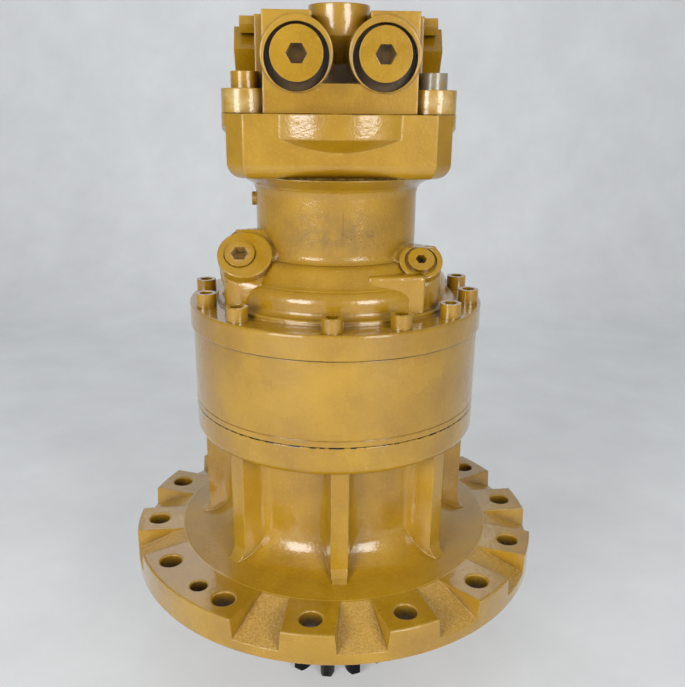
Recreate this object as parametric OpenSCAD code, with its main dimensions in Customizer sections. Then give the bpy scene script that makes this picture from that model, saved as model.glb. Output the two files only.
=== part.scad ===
// Excavator swing motor: an axial piston motor with parking brake and valve block
// on a two-stage planetary gearbox, with a mounting flange and an output pinion.
// The origin is the centre of the mounting flange's lower face. +Z runs up to the
// valve block, and the front, with the two large plugs, faces -Y.
// Angles round the axis are counted from the front, positive towards +X.

/* [Mounting flange] */
// Outer diameter of the mounting flange
flange_d = 526; // [516:1:540]
// Thickness of the mounting flange
flange_t = 39; // [34:0.5:44]
// Distance of the mounting holes' circle from the flange's edge
hole_edge = 27; // [25:0.5:29]
// Number of mounting holes
flange_holes = 14; // [12:1:14]
// Diameter of a mounting hole
flange_hole_d = 26; // [22:0.5:28]
// Angle of the first mounting hole
first_hole_a = -8.2; // [-10:0.1:-6]
// Diameter of the locating dowel hole
dowel_hole_d = 20; // [16:0.5:22]
// Width of the flat pad round each mounting hole
pad_w = 58; // [52:1:62]
// Height of the rim left under the notches
notch_lip = 14; // [10:0.5:20]
// Diameter of the circle inside which the flange top is unbroken
step_d = 408; // [400:1:414]
// Diameter of the pilot spigot
pilot_d = 320; // [300:1:340]
// Height of the pilot spigot
pilot_h = 14; // [8:0.5:18]

/* [Hub casting] */
// Height of the hub above the mounting face
hub_h = 214; // [212:0.5:220]
// Thickness of the hub's upper flange
hub_rim_t = 35; // [30:0.5:38]
// Outer diameter of the neck
neck_d = 276; // [270:1:284]
// Wall of the neck
neck_wall = 20; // [14:0.5:24]
// Slope of the flange's top inside the notches
flange_slope = 8; // [6:0.5:10]
// Fillet between flange and neck
neck_fillet = 42; // [36:1:46]
// Number of ribs
rib_count = 8; // [6:1:8]
// Width of a rib at its outer face
rib_w = 20; // [16:0.5:24]
// Diameter over the ribs
rib_d = 338; // [332:1:342]
// Fillet between rib and neck
rib_fillet = 14; // [8:1:16]
// Diameter of the nose under the pilot spigot
nose_d = 250; // [240:1:260]
// Height of the nose
nose_h = 34; // [32:0.5:38]

/* [Gear case] */
// Outer diameter of the ring gear and of the hub's upper flange
case_d = 354; // [352:0.5:358]
// Height of the ring gear
ring_h = 100; // [100:0.5:106]
// Outer diameter of the cover flange
cover_d = 360; // [356:0.5:364]
// Thickness of the cover flange
cover_t = 29; // [27:0.5:33]
// Bolt circle diameter of the cover bolts
cover_pcd = 328; // [327:0.5:330]
// Number of cover bolts
cover_bolt_count = 13; // [11:1:13]
// Thread diameter of the cover bolts
cover_bolt_d = 16; // [14:0.5:16]
// Length of the cover bolts under the head
cover_bolt_len = 150; // [146:1:154]
// Angle left without a bolt near the front
cover_bolt_gap = 40; // [36:0.5:44]
// Angle of the bolt at the right end of that gap
cover_bolt_a = -3.3; // [-6:0.1:0]

/* [Gears] */
// Module of the planetary gears
gear_m = 4; // [3.9:0.02:4]
// Teeth of the first sun gear
sun_1_teeth = 18; // [18:6:24]
// Teeth of the second sun gear
sun_2_teeth = 24; // [18:6:24]
// Play between meshing teeth along the pitch circle
gear_play = 0.5; // [0.3:0.05:0.7]
// Face width of the first stage planets
face_1 = 26; // [24:0.5:27]
// Face width of the second stage planets
face_2 = 44; // [42:0.5:45]
// Module of the output pinion
pinion_m = 12; // [11:0.1:12.5]
// Teeth of the output pinion
pinion_teeth = 13; // [13:1:14]
// Face width of the output pinion
pinion_len = 110; // [100:1:115]
// Depth of the pinion's end under the mounting face
pinion_drop = 171; // [168:1:180]

/* [Shafts and bearings] */
// Diameter of the output shaft at its seal
seal_journal_d = 120; // [118:0.5:124]
// Bore of the lower output bearing
lower_bore_d = 110; // [106:0.5:112]
// Bore of the upper output bearing
upper_bore_d = 100; // [98:0.5:102]
// Diameter of the motor shaft in its front bearing
motor_shaft_d = 40; // [39:0.5:41]
// Planet pin diameter in the first stage
pin_1_d = 28; // [26:0.5:30]
// Planet pin diameter in the second stage
pin_2_d = 32; // [30:0.5:34]
// Radial running clearance of rollers, pistons and journals
run_gap = 0.06; // [0.04:0.01:0.09]

/* [Motor casing] */
// Height of the casing above the cover flange
casing_h = 217; // [217:0.5:224]
// Outer diameter of the barrel
barrel_d = 192; // [190:0.5:198]
// Largest diameter of the bead above the cover flange
bead_d = 274; // [268:1:280]
// Diameter of the register step on the cover flange
register_d = 294; // [290:1:300]
// Width of the head from side to side
head_w = 241; // [238:1:246]
// Depth of the head from front to back
head_l = 220; // [218:1:228]
// Height of the head's upright sides at the barrel
head_h = 79; // [76:1:82]
// Rounding of the head's lower edges
head_round = 17; // [12:0.5:20]
// Angle of the underside of the arc on the head's front
head_slope = 40; // [36:1:44]
// Diameter of the raised arc on the head's front
arc_d = 254; // [250:1:258]
// Diameter of the filler plug's ring
fill_plug_d = 34; // [32:0.5:36]
// Diameter of the vent plug's ring
vent_plug_d = 30; // [28:0.5:32]

/* [Motor] */
// Number of pistons
piston_count = 9; // [7:2:9]
// Piston diameter
piston_d = 22; // [20:0.5:22.5]
// Pitch circle diameter of the pistons
piston_pcd = 84; // [83:0.5:86]
// Tilt of the swash plate
swash_a = 15; // [12:0.5:15.5]
// Outer diameter of the cylinder block
block_d = 120; // [119:0.5:122]
// Thickness of the valve plate
valve_plate_t = 8; // [6:0.5:9]
// Number of brake friction plates
brake_plates = 3; // [2:1:3]
// Thickness of a friction plate
friction_t = 3; // [2.5:0.1:3.1]
// Thickness of a separator plate
separator_t = 2.5; // [2:0.1:2.6]
// Number of brake springs
brake_spring_count = 8; // [6:1:8]

/* [Valve block] */
// Height of the valve block
block_h = 99; // [97:0.5:103]
// Thickness of the valve block's base flange
base_t = 25; // [22:0.5:28]
// Width of the valve block's front
front_w = 160; // [156:1:164]
// Width of the valve block's body
body_w = 180; // [176:1:186]
// Distance from the axis to the valve block's front
front_y = 105; // [103:0.5:107]
// Distance from the axis to the valve block's back
back_y = 85; // [82:0.5:90]
// Distance of each make-up plug from the middle plane
plug_x = 45; // [44:0.5:47]
// Height of the make-up plugs above the joint
plug_z = 58; // [57:0.5:60]
// Diameter of the make-up plugs
plug_d = 54; // [52:0.5:56]
// Spacing of the corner bolts from side to side
corner_x = 200; // [199:0.5:202]
// Spacing of the corner bolts from front to back
corner_y = 150; // [148:1:152]
// Thread diameter of the corner bolts
corner_bolt_d = 20; // [18:0.5:20]
// Bore of the two main ports
port_d = 25; // [22:0.5:26]
// Long spacing of the main port screws
port_screw_z = 57.15; // [56:0.05:58.5]
// Short spacing of the main port screws
port_screw_x = 27.76; // [26:0.02:29]

/* [Hidden] */
$fn = 96;

// Colours
paint = "#CB9C2F";
raw_steel = "#8C8F92";
dark_steel = "#3A3A3C";
bronze = "#A9824A";
seal_black = "#1C1C1E";

// Overlap that joins solids of one piece
lap = 0.5;
// How far a fillet is sunk into the wall that it joins
sink = 0.04;
// Clearance of pressed and bolted pieces in their seats
seat_gap = 0.05;
pressure_a = 20;
flank_points = 4;

// Heights
case_top = hub_h + ring_h;
plate_z = case_top + cover_t;
joint_z = plate_z + casing_h;
rim_z = hub_h - hub_rim_t;
nose_z = -pilot_h - nose_h;

// Output bearings: bore radius, outer radius, width, pitch radius, roller radius,
// roller length, tilt, number of rollers
lower_bearing = [lower_bore_d / 2, 100, 41, 78, 11, 28, 14, 18];
upper_bearing = [upper_bore_d / 2, 90, 37, 70.5, 9.5, 25, 15, 16];
shaft_bearing = [motor_shaft_d / 2, 40, 23, 30.5, 4.4, 14.5, 14, 15];
ring_t = 3;
ring_groove = 4;
seal_carrier_z = nose_z + ring_groove;
seal_carrier_h = 32;
output_seal_w = 12;
output_seal_r = seal_journal_d / 2 + 15;
lower_bearing_z = seal_carrier_z + seal_carrier_h;
lower_shoulder_z = lower_bearing_z + lower_bearing[2];
upper_bearing_z = 130;
nut_z = upper_bearing_z + upper_bearing[2];
nut_t = 11;
nut_r = 62;
output_thread_r = upper_bore_d / 2 - 2;
seat_lip = 8;
pinion_tip_r = pinion_m * (pinion_teeth / 2 + 1);
// Angle of one pinion tooth, counted from the front
pinion_a = -8.2;
pinion_bevel = 4;

// Gear train
ring_teeth = 72;
planet_1_teeth = (ring_teeth - sun_1_teeth) / 2;
planet_2_teeth = (ring_teeth - sun_2_teeth) / 2;
centre_1 = gear_m * (sun_1_teeth + planet_1_teeth) / 2;
centre_2 = gear_m * (sun_2_teeth + planet_2_teeth) / 2;
planet_count = 3;
needle_1_r = 4;
needle_2_r = 4.5;
needle_count = 12;
planet_1_bore_r = pin_1_d / 2 + 2 * needle_1_r + 2 * run_gap;
planet_2_bore_r = pin_2_d / 2 + 2 * needle_2_r + 2 * run_gap;
side_gap = 0.5;
pin_wall = 7;
// Half the angle of a web between two planets
web_half_a = 16;
carrier_1_r = centre_1 + pin_1_d / 2 + pin_wall;
carrier_2_r = centre_2 + pin_2_d / 2 + pin_wall;
planet_2_z = hub_h + 4;
carrier_2_plate = 12;
carrier_2_top = 10;
carrier_2_z = planet_2_z - side_gap - carrier_2_plate;
carrier_2_end = planet_2_z + face_2 + side_gap + carrier_2_top;
carrier_2_hub_z = nut_z + nut_t + 2;
carrier_2_hub_r = 60;
carrier_1_plate = 9;
carrier_1_top = 6;
carrier_1_z = carrier_2_end + 3;
planet_1_z = carrier_1_z + carrier_1_plate + side_gap;
carrier_1_end = planet_1_z + face_1 + side_gap + carrier_1_top;
sun_1_tip_r = gear_m * (sun_1_teeth / 2 + 1);
sun_2_tip_r = gear_m * (sun_2_teeth / 2 + 1);
sun_1_neck_r = 28;
ring_tip_r = gear_m * (ring_teeth / 2 - 1);
ring_root_r = gear_m * (ring_teeth / 2 + 1.25);
output_spline = [46, 43, 24];
sun_2_spline = [38, 35, 18];
sun_1_spline = [19, 17.2, 16];

// Motor casing
seal_seat_z = plate_z - 19;
sun_1_end = seal_seat_z - 3;
seal_seat_r = 32;
seal_w = 10;
seal_lip_z = seal_seat_z + seal_w;
shaft_bearing_z = plate_z + 3;
swash_floor_z = shaft_bearing_z + shaft_bearing[2];
swash_room_r = 80;
bead_r = 14;
bead_z = plate_z + 20;
neck_ring_r = bead_d / 2 - 30;
neck_ring_z = plate_z + 55;
head_z = joint_z - head_h;
corner_r = 26;
head_cut = 19;
head_side_z = head_z + 12;
under_slope = 32;
lobe_h = 26;
arc_h = 39;
brake_pack_t = brake_plates * friction_t + (brake_plates + 1) * separator_t;
brake_floor_z = joint_z - 90;
brake_press_z = brake_floor_z + brake_pack_t;
brake_room_r = 82.3;
tab_r = 86.5;
tab_count = 8;
tab_w = 16;
brake_guide_r = 87.5;
brake_head_r = 94.5;
brake_guide_z = joint_z - 68;
brake_step_z = joint_z - 52;
brake_top_z = joint_z - 28;
brake_spring_pcr = 82;
brake_spring_r = 6.5;
brake_pocket_r = 8;
brake_pocket = 14;
o_ring_r = 2.5;
o_ring_seat_r = ring_root_r + 3.2;
head_seal_r = brake_head_r + 4;
// A lug: radius of its boss, shift of the boss sideways, radius of its foot, height of its top
fill_lug = [31, 5.5, 26, plate_z + 88];
fill_at = concat(polar(134.4, -146), [plate_z + 65]);
vent_lug = [24.6, 0, 24, plate_z + 72];
vent_at = concat(polar(125.7, -42), [plate_z + 60]);
lug_foot_y = 12;
lug_boss_l = 36;
// How far web and foot stay behind the lug's face
web_back = 6;
foot_back = 10;
// Ring-shaped room round the vent plug
vent_room = 3.5;
arm_top = 45;
lug_plug_sink = 2.5;
lug_plug_thread = 18;
drain_z = plate_z + 100;
drain_y = 112;
drain_r = 10;
brake_port_z = brake_step_z + 3;
brake_port_r = 6;
brake_mouth = 3.5;
corner_hole = 40;

// Rotating group
swash_z = swash_floor_z + 29;
swash_r = 72;
ball_r = 7;
shoe_h = 12;
slipper_r = 11.5;
slipper_t = 4;
shoe_neck_r = 9.5;
shoe_top = 3.5;
retainer_t = 4;
retainer_r = 60;
guide_r = 29;
guide_z = swash_z + (slipper_t + retainer_t / 2) / cos(swash_a);
guide_end = guide_z + 10.5;
swash_bore_r = 30.5;
block_z = joint_z - 120;
block_top = joint_z - valve_plate_t;
piston_r = piston_d / 2 - run_gap;
piston_from = 14;
piston_l = 95;
shaft_spline = [22, 20.4, 20];
block_bore_r = shaft_spline[0] + 0.6;
block_teeth = 24;
block_spline = [block_d / 2 + 6, block_d / 2 + 2, block_teeth];
spring_room_r = 28;
spring_room_h = 40;
spring_room_z = block_top - spring_room_h - 12;
kidney_r = piston_pcd / 2 - 3;
kidney_w = 11;
kidney_a = 120;
end_journal_r = 17;
end_bearing_r = 26;
end_bearing_l = 20;

// Valve block
makeup_bore_r = 24;
counterbore_r = plug_d / 2 + 6;
counterbore = 12;
plug_boss_r = plug_d / 2 + 10;
plug_boss = 3;
plug_proud = 8;
plug_hex = 19;
seat_y = -40;
// Between port and seat the passage is a little wider than the port
gallery_y = 10;
gallery_r = port_d / 2 + 1.5;
makeup_poppet_travel = 6;
relief_y = -20;
relief_z = joint_z + 66;
relief_r = 14;
relief_in = 38;
relief_cap_af = 46;
relief_cap_l = 23;
relief_travel = 3;
body_y = 60;
base_y = 92;
valley_z = joint_z + 30;
valley_x = 30;
gauge_y = -44;
gauge_z = joint_z + 90;
gauge_r = 6;
gauge_hex_l = 16;
corner_head_h = 17;
// How far the cast recess round a make-up plug lies below the plug's axis
recess_drop = 3;
top_boss_r = 33;
// The top boss: radius and height of the lower end of its cone, height of the cone's upper end
top_cone = [8, 44, 78];
top_boss_y = -48;
top_boss_h = 10;
makeup_port_r = 15;

function polar(r, a) = [r * cos(a), r * sin(a)];
function inv_deg(a) = tan(a) * 180 / PI - a;
function base_radius(m, teeth) = m * teeth / 2 * cos(pressure_a);
// Half the angle that a tooth takes up at radius r
function tooth_half(m, teeth, r, slack) =
    (PI * m / 4 - slack) / (m * teeth / 2) * 180 / PI
    + inv_deg(pressure_a) - inv_deg(acos(base_radius(m, teeth) / r));

// Turns its children to an angle counted from the front
module at_front(a, r = 0) rotate([0, 0, a]) translate([0, -r, 0]) children();

module tube(outer_r, inner_r, h) difference() {
    cylinder(r = outer_r, h = h);
    translate([0, 0, -lap]) cylinder(r = inner_r, h = h + 2 * lap);
}

// Involute teeth with radial roots, as an outline
module teeth_2d(m, teeth, tip_r, root_r, slack) {
    pitch = 360 / teeth;
    start_r = max(base_radius(m, teeth), root_r);
    radii = [for (i = [0 : flank_points]) start_r + (tip_r - start_r) * i / flank_points];
    half = [for (r = radii) tooth_half(m, teeth, r, slack)];
    has_root = start_r > root_r;
    polygon([for (t = [0 : teeth - 1]) each concat(
        has_root ? [polar(root_r, t * pitch - half[0])] : [],
        [for (i = [0 : flank_points]) polar(radii[i], t * pitch - half[i])],
        [for (i = [flank_points : -1 : 0]) polar(radii[i], t * pitch + half[i])],
        has_root ? [polar(root_r, t * pitch + half[0])] : []
    )]);
}

module gear(m, teeth, h) linear_extrude(h)
    teeth_2d(m, teeth, m * (teeth / 2 + 1), m * (teeth / 2 - 1.25), gear_play / 4);

// Straight-sided spline from its tip radius, root radius and number of teeth
module spline_2d(s, gap = 0) {
    pitch = 360 / s[2];
    wide = pitch * 0.29 + gap / s[1] * 180 / PI;
    slim = pitch * 0.19 + gap / s[0] * 180 / PI;
    polygon([for (t = [0 : s[2] - 1]) each [
        polar(s[1] + gap, t * pitch - wide), polar(s[0] + gap, t * pitch - slim),
        polar(s[0] + gap, t * pitch + slim), polar(s[1] + gap, t * pitch + wide)
    ]]);
}

// Concave fillet in the corner at (x, y), open towards (sx, sy)
module corner_fill(x, y, r, sx, sy) difference() {
    translate([sx > 0 ? x - lap : x - r, sy > 0 ? y - lap : y - r]) square(r + lap);
    translate([x + sx * r, y + sy * r]) circle(r);
}

// Coil spring along +Z from its mean radius, wire radius, length and number of turns
module coil_spring(mean_r, wire_r, h, turns) {
    per_turn = 12;
    sides = 6;
    steps = turns * per_turn;
    rise = h - 2 * wire_r;
    points = [for (i = [0 : steps], k = [0 : sides - 1])
        let (a = i * 360 / per_turn, b = k * 360 / sides, r = mean_r + wire_r * cos(b))
        [r * cos(a), r * sin(a), wire_r + rise * i / steps + wire_r * sin(b)]];
    walls = [for (i = [0 : steps - 1], k = [0 : sides - 1])
        let (n = (k + 1) % sides, p = i * sides, q = p + sides)
        each [[p + k, q + k, q + n], [p + k, q + n, p + n]]];
    first = [for (k = [1 : sides - 2]) [0, k, k + 1]];
    e = steps * sides;
    last = [for (k = [1 : sides - 2]) [e, e + k + 1, e + k]];
    polyhedron(points, concat(walls, first, last));
}

// Socket head screw hanging from z = 0, with its head above
module socket_screw(d, shank, af, head) {
    translate([0, 0, -shank]) cylinder(d = d, h = shank + lap);
    difference() {
        cylinder(d = 1.5 * d, h = head);
        translate([0, 0, head - d * 0.5]) cylinder(d = af / cos(30), h = d, $fn = 6);
    }
}

// Tapered roller bearings stand on z = 0 and open upwards
function bearing_tip(b) = atan(b[4] * sin(b[6]) / b[3]);
// Point of the roller's axis (side 0), inner race (-1) or outer race (1) at its end
function race(b, side, end, gap) = let (
    s = end * b[5] / 2,
    r = b[4] + s * tan(bearing_tip(b)) + gap
) [b[3] + s * sin(b[6]) + side * r * cos(b[6]), b[2] / 2 + s * cos(b[6]) - side * r * sin(b[6])];

module bearing_cone(b) rotate_extrude() {
    low = race(b, -1, -1, run_gap);
    high = race(b, -1, 1, run_gap);
    polygon([[b[0], 0], [low[0], 0], low, high, [high[0], b[2]], [b[0], b[2]]]);
}

module bearing_cup(b) rotate_extrude() {
    low = race(b, 1, -1, run_gap);
    high = race(b, 1, 1, run_gap);
    seat_r = b[1] - seat_gap;
    polygon([[low[0], 0], [seat_r, 0], [seat_r, b[2]], [high[0], b[2]], high, low]);
}

module bearing_rollers(b) {
    change = b[5] / 2 * tan(bearing_tip(b));
    for (i = [0 : b[7] - 1]) rotate([0, 0, i * 360 / b[7]])
        translate([b[3], 0, b[2] / 2]) rotate([0, b[6], 0])
            cylinder(r1 = b[4] - change, r2 = b[4] + change, h = b[5], center = true);
}

module upside_down(z, h) translate([0, 0, z + h]) mirror([0, 0, 1]) children();

// Angles of the cover bolts
cover_step = (360 - cover_bolt_gap) / (cover_bolt_count - 1);
module each_cover_bolt() for (i = [0 : cover_bolt_count - 1])
    at_front(cover_bolt_a + i * cover_step, cover_pcd / 2) children();

// Hub casting
flange_r = flange_d / 2;
flange_pcd = flange_d - 2 * hole_edge;
neck_r = neck_d / 2;
hole_step = 360 / flange_holes;
dowel_a = first_hole_a - 1.377 * hole_step;
// Growth of a rib's half width towards the neck
rib_taper = 0.19;
// Half distance between the fillet centres beside a rib, found by repetition
function fillet_x(y, i = 6) = let (
    x = rib_w / 2 + (rib_d / 2 - y) * rib_taper + rib_fillet * sqrt(1 + rib_taper * rib_taper)
) i == 1 ? x : fillet_x(sqrt(pow(neck_r + rib_fillet - sink, 2) - x * x), i - 1);

module hub_outer_2d() {
    fillet_z = flange_t + (neck_fillet + (step_d / 2 - neck_r - neck_fillet) * sin(flange_slope))
        / cos(flange_slope);
    fillet_r = neck_r + neck_fillet - sink;
    rise = (step_d / 2 - neck_r) * tan(flange_slope);
    translate([0, nose_z]) polygon([
        [0, 0], [nose_d / 2 - 4, 0], [nose_d / 2, 4], [nose_d / 2, nose_h + lap], [0, nose_h + lap]
    ]);
    polygon([
        [0, -pilot_h], [pilot_d / 2 - 2, -pilot_h], [pilot_d / 2, 2 - pilot_h], [pilot_d / 2, 0],
        [flange_r - 1.5, 0], [flange_r, 1.5], [flange_r, notch_lip], [step_d / 2, flange_t],
        [neck_r, flange_t + rise], [neck_r, rim_z + lap], [0, rim_z + lap]
    ]);
    difference() {
        polygon([
            [neck_r - lap, fillet_z], [fillet_r, fillet_z],
            [fillet_r - neck_fillet * sin(flange_slope), fillet_z - neck_fillet * cos(flange_slope)],
            [neck_r - lap, flange_t + rise - lap]
        ]);
        translate([fillet_r, fillet_z]) circle(neck_fillet);
    }
    difference() {
        translate([0, rim_z]) square([case_d / 2, hub_rim_t]);
        difference() {
            translate([case_d / 2 - 9, rim_z - lap]) square(9 + lap);
            translate([case_d / 2 - 9, rim_z + 9]) circle(9);
        }
    }
    corner_fill(neck_r, rim_z, 16, 1, -1);
}

module rib_2d() {
    cx = fillet_x(neck_r + rib_fillet);
    cy = sqrt(pow(neck_r + rib_fillet - sink, 2) - cx * cx);
    slant = sqrt(1 + rib_taper * rib_taper);
    inner_y = neck_r - neck_wall / 2;
    inner_w = rib_w / 2 + (rib_d / 2 - inner_y) * rib_taper;
    outer_w = rib_w / 2 - 12 * rib_taper;
    outer_y = rib_d / 2 + 12;
    polygon([[-inner_w, -inner_y], [-outer_w, -outer_y], [outer_w, -outer_y], [inner_w, -inner_y]]);
    for (side = [-1, 1]) difference() {
        polygon([
            [0, -inner_y],
            [side * (cx - rib_fillet / slant), -cy + rib_fillet * rib_taper / slant],
            [side * cx, -cy],
            [side * cx, -cy] * neck_r / (neck_r + rib_fillet),
            [side * cx, -cy] * inner_y / (neck_r + rib_fillet)
        ]);
        translate([side * cx, -cy]) circle(rib_fillet);
    }
}

// What the ribs may fill: upright outer faces with a small foot on the flange
module rib_room_2d() {
    foot_z = flange_t + (step_d / 2 - rib_d / 2) * tan(flange_slope);
    polygon([
        [neck_r - neck_wall / 2, flange_t], [rib_d / 2 + 10, flange_t],
        [rib_d / 2 + 10, foot_z - 1], [rib_d / 2 + 4, foot_z + 3], [rib_d / 2, foot_z + 12],
        [rib_d / 2, rim_z + lap], [neck_r - neck_wall / 2, rim_z + lap]
    ]);
}

module pad_room_2d() polygon([
    [step_d / 2 - 14, 1.5], [flange_r - 1.5, 1.5], [flange_r, 3], [flange_r, flange_t - 1.5],
    [flange_r - 1.5, flange_t], [step_d / 2 - 14, flange_t]
]);

module hub_inner_2d() {
    seat_r = lower_bearing[1];
    polygon([
        [0, nose_z - lap], [seat_r, nose_z - lap], [seat_r, lower_shoulder_z],
        [seat_r - seat_lip, lower_shoulder_z], [seat_r - seat_lip, lower_shoulder_z + 10],
        [neck_r - neck_wall, lower_shoulder_z + 28], [neck_r - neck_wall, upper_bearing_z - 18],
        [upper_bearing[1] - seat_lip, upper_bearing_z - 10],
        [upper_bearing[1] - seat_lip, upper_bearing_z], [upper_bearing[1], upper_bearing_z],
        [upper_bearing[1], nut_z], [neck_r - neck_wall - 6, nut_z + 4],
        [neck_r - neck_wall, carrier_2_z - 14], [carrier_2_r + 6, carrier_2_z - 6],
        [ring_tip_r, hub_h - 6], [ring_tip_r, hub_h + lap], [0, hub_h + lap]
    ]);
}

module hub_housing() color(paint) difference() {
    union() {
        rotate_extrude() hub_outer_2d();
        intersection() {
            rotate_extrude() rib_room_2d();
            for (i = [0 : rib_count - 1]) rotate([0, 0, i * 360 / rib_count])
                linear_extrude(hub_h) rib_2d();
        }
        intersection() {
            rotate_extrude() pad_room_2d();
            union() {
                for (i = [0 : flange_holes - 1]) at_front(first_hole_a + i * hole_step, step_d / 2 - 30)
                    rotate([90, 0, 0]) linear_extrude(100) polygon([
                        [-pad_w / 2 - 4, 0], [pad_w / 2 + 4, 0], [pad_w / 2, flange_t + 1],
                        [-pad_w / 2, flange_t + 1]
                    ]);
                // The notch beside the dowel hole is left solid
                linear_extrude(flange_t + 1) polygon([
                    [0, 0],
                    polar(2 * flange_r, first_hole_a - 1.9 * hole_step - 90),
                    polar(2 * flange_r, first_hole_a - 1.1 * hole_step - 90)
                ]);
            }
        }
    }
    rotate_extrude() hub_inner_2d();
    for (i = [0 : flange_holes - 1]) at_front(first_hole_a + i * hole_step, flange_pcd / 2) {
        translate([0, 0, -lap]) cylinder(d = flange_hole_d, h = flange_t + 2 * lap);
        translate([0, 0, flange_t - 1.5]) cylinder(d1 = flange_hole_d, d2 = flange_hole_d + 4, h = 2);
    }
    at_front(dowel_a, flange_pcd / 2) {
        translate([0, 0, -lap]) cylinder(d = dowel_hole_d, h = flange_t + 2 * lap);
        translate([0, 0, flange_t - 1]) cylinder(d1 = dowel_hole_d, d2 = dowel_hole_d + 3, h = 1.5);
    }
    each_cover_bolt() translate([0, 0, plate_z - cover_bolt_len - 6])
        cylinder(d = cover_bolt_d + 2 * seat_gap, h = cover_bolt_len);
    translate([0, 0, nose_z + ring_groove - ring_t - seat_gap])
        cylinder(r = lower_bearing[1] + 4, h = ring_t + 2 * seat_gap);
    translate([0, 0, hub_h - 2 * o_ring_r + lap / 2]) o_ring_groove(o_ring_seat_r);
}

module ring_gear() color(paint) difference() {
    translate([0, 0, hub_h]) rotate_extrude() difference() {
        polygon([
            [ring_tip_r - 2, 0], [case_d / 2 - 1, 0], [case_d / 2, 1], [case_d / 2, ring_h - 1],
            [case_d / 2 - 1, ring_h], [ring_tip_r - 2, ring_h]
        ]);
        // Turned line above the lower joint
        translate([case_d / 2 - 0.6, 8]) square([2, 1]);
    }
    translate([0, 0, hub_h - lap]) linear_extrude(ring_h + 2 * lap)
        teeth_2d(gear_m, ring_teeth, ring_root_r, ring_tip_r, -gear_play / 4);
    each_cover_bolt() translate([0, 0, hub_h - lap]) cylinder(d = cover_bolt_d + 1.5, h = ring_h + 2 * lap);
}

module cover_bolts() color(paint) each_cover_bolt()
    translate([0, 0, plate_z]) socket_screw(cover_bolt_d, cover_bolt_len, 14, cover_bolt_d);

module static_o_rings() color(seal_black) {
    ring_z = o_ring_r * 0.8;
    for (z = [hub_h - ring_z, case_top + ring_z]) translate([0, 0, z])
        rotate_extrude() translate([o_ring_seat_r, 0]) circle(o_ring_r * 0.8, $fn = 16);
    translate([0, 0, joint_z - ring_z]) rotate_extrude()
        translate([head_seal_r, 0]) circle(o_ring_r * 0.8, $fn = 16);
}

// Output shaft, seal and bearings
module seal_carrier() color(raw_steel) {
    outer = lower_bearing[1] - seat_gap;
    inner = seal_journal_d / 2 + 3;
    translate([0, 0, seal_carrier_z]) rotate_extrude() polygon([
        [inner, 0], [outer, 0], [outer, seal_carrier_h], [outer - 10, seal_carrier_h],
        [outer - 14, output_seal_w + 8], [output_seal_r, output_seal_w + 6], [output_seal_r, 4], [inner, 4]
    ]);
}

module seal_carrier_ring() color(raw_steel) translate([0, 0, nose_z + ring_groove - ring_t])
    difference() {
        tube(lower_bearing[1] + 3.5, lower_bearing[1] - 6, ring_t);
        translate([-6, -lower_bearing[1] - 10, -lap]) cube([12, 20, ring_t + 2 * lap]);
    }

// Lip seal round a shaft: metal-cased ring with a lip that just clears the shaft
module lip_seal(shaft_r, outer_r, w) rotate_extrude() polygon([
    [shaft_r + 0.15, w * 0.35], [shaft_r + 1.5, 0.5], [outer_r - 2, 0.5], [outer_r - 2, 0],
    [outer_r, 0], [outer_r, w], [shaft_r + 4, w], [shaft_r + 4, w - 1.5], [outer_r - 3, w - 1.5],
    [outer_r - 3, 3], [shaft_r + 3, 3], [shaft_r + 3, w * 0.7], [shaft_r + 1, w * 0.7]
]);

module output_oil_seal() color(seal_black) translate([0, 0, seal_carrier_z + 4])
    lip_seal(seal_journal_d / 2, output_seal_r - seat_gap, output_seal_w);

module pinion_shaft() {
    top_z = carrier_2_z + carrier_2_plate;
    neck_z = pinion_len - pinion_drop - lap;
    journal_r = seal_journal_d / 2;
    lower_r = lower_bore_d / 2 - seat_gap;
    upper_r = upper_bore_d / 2 - seat_gap;
    color(dark_steel) difference() {
        translate([0, 0, -pinion_drop]) intersection() {
            linear_extrude(pinion_len) rotate(pinion_a - 90) teeth_2d(pinion_m, pinion_teeth,
                pinion_tip_r, pinion_m * (pinion_teeth / 2 - 1.25), 0.3);
            // Bevelled tooth ends
            rotate_extrude() polygon([
                [0, 0], [pinion_tip_r - pinion_bevel, 0], [pinion_tip_r + lap, pinion_bevel + lap],
                [pinion_tip_r + lap, pinion_len - pinion_bevel - lap],
                [pinion_tip_r - pinion_bevel, pinion_len], [0, pinion_len]
            ]);
        }
        // Centre hole in the shaft's end
        translate([0, 0, -pinion_drop - lap]) cylinder(r1 = 12, r2 = 5, h = 14);
    }
    color(raw_steel) {
        rotate_extrude() polygon([
            [0, neck_z], [journal_r + 4, neck_z], [journal_r, nose_z - 6],
            [journal_r, lower_bearing_z], [lower_r, lower_bearing_z],
            [lower_r, upper_bearing_z - 1], [upper_r, upper_bearing_z - 1], [upper_r, nut_z],
            [output_thread_r, nut_z], [output_thread_r, carrier_2_hub_z - 1],
            [output_spline[1], carrier_2_hub_z - 1], [output_spline[1], top_z], [0, top_z]
        ]);
        translate([0, 0, carrier_2_hub_z]) linear_extrude(top_z - carrier_2_hub_z)
            spline_2d(output_spline);
    }
}

module bearing_spacer() color(raw_steel) translate([0, 0, lower_shoulder_z])
    tube(lower_bore_d / 2 + 9, lower_bore_d / 2 + seat_gap, upper_bearing_z - lower_shoulder_z);

module bearing_lock_nut() color(raw_steel) translate([0, 0, nut_z]) difference() {
    tube(nut_r, output_thread_r + seat_gap, nut_t);
    for (i = [0 : 3]) rotate([0, 0, 45 + i * 90]) translate([nut_r - 4, -5, -lap])
        cube([8, 10, nut_t + 2 * lap]);
}

module output_bearing_cups() color(raw_steel) {
    upside_down(lower_bearing_z, lower_bearing[2]) bearing_cup(lower_bearing);
    translate([0, 0, upper_bearing_z]) bearing_cup(upper_bearing);
}

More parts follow.
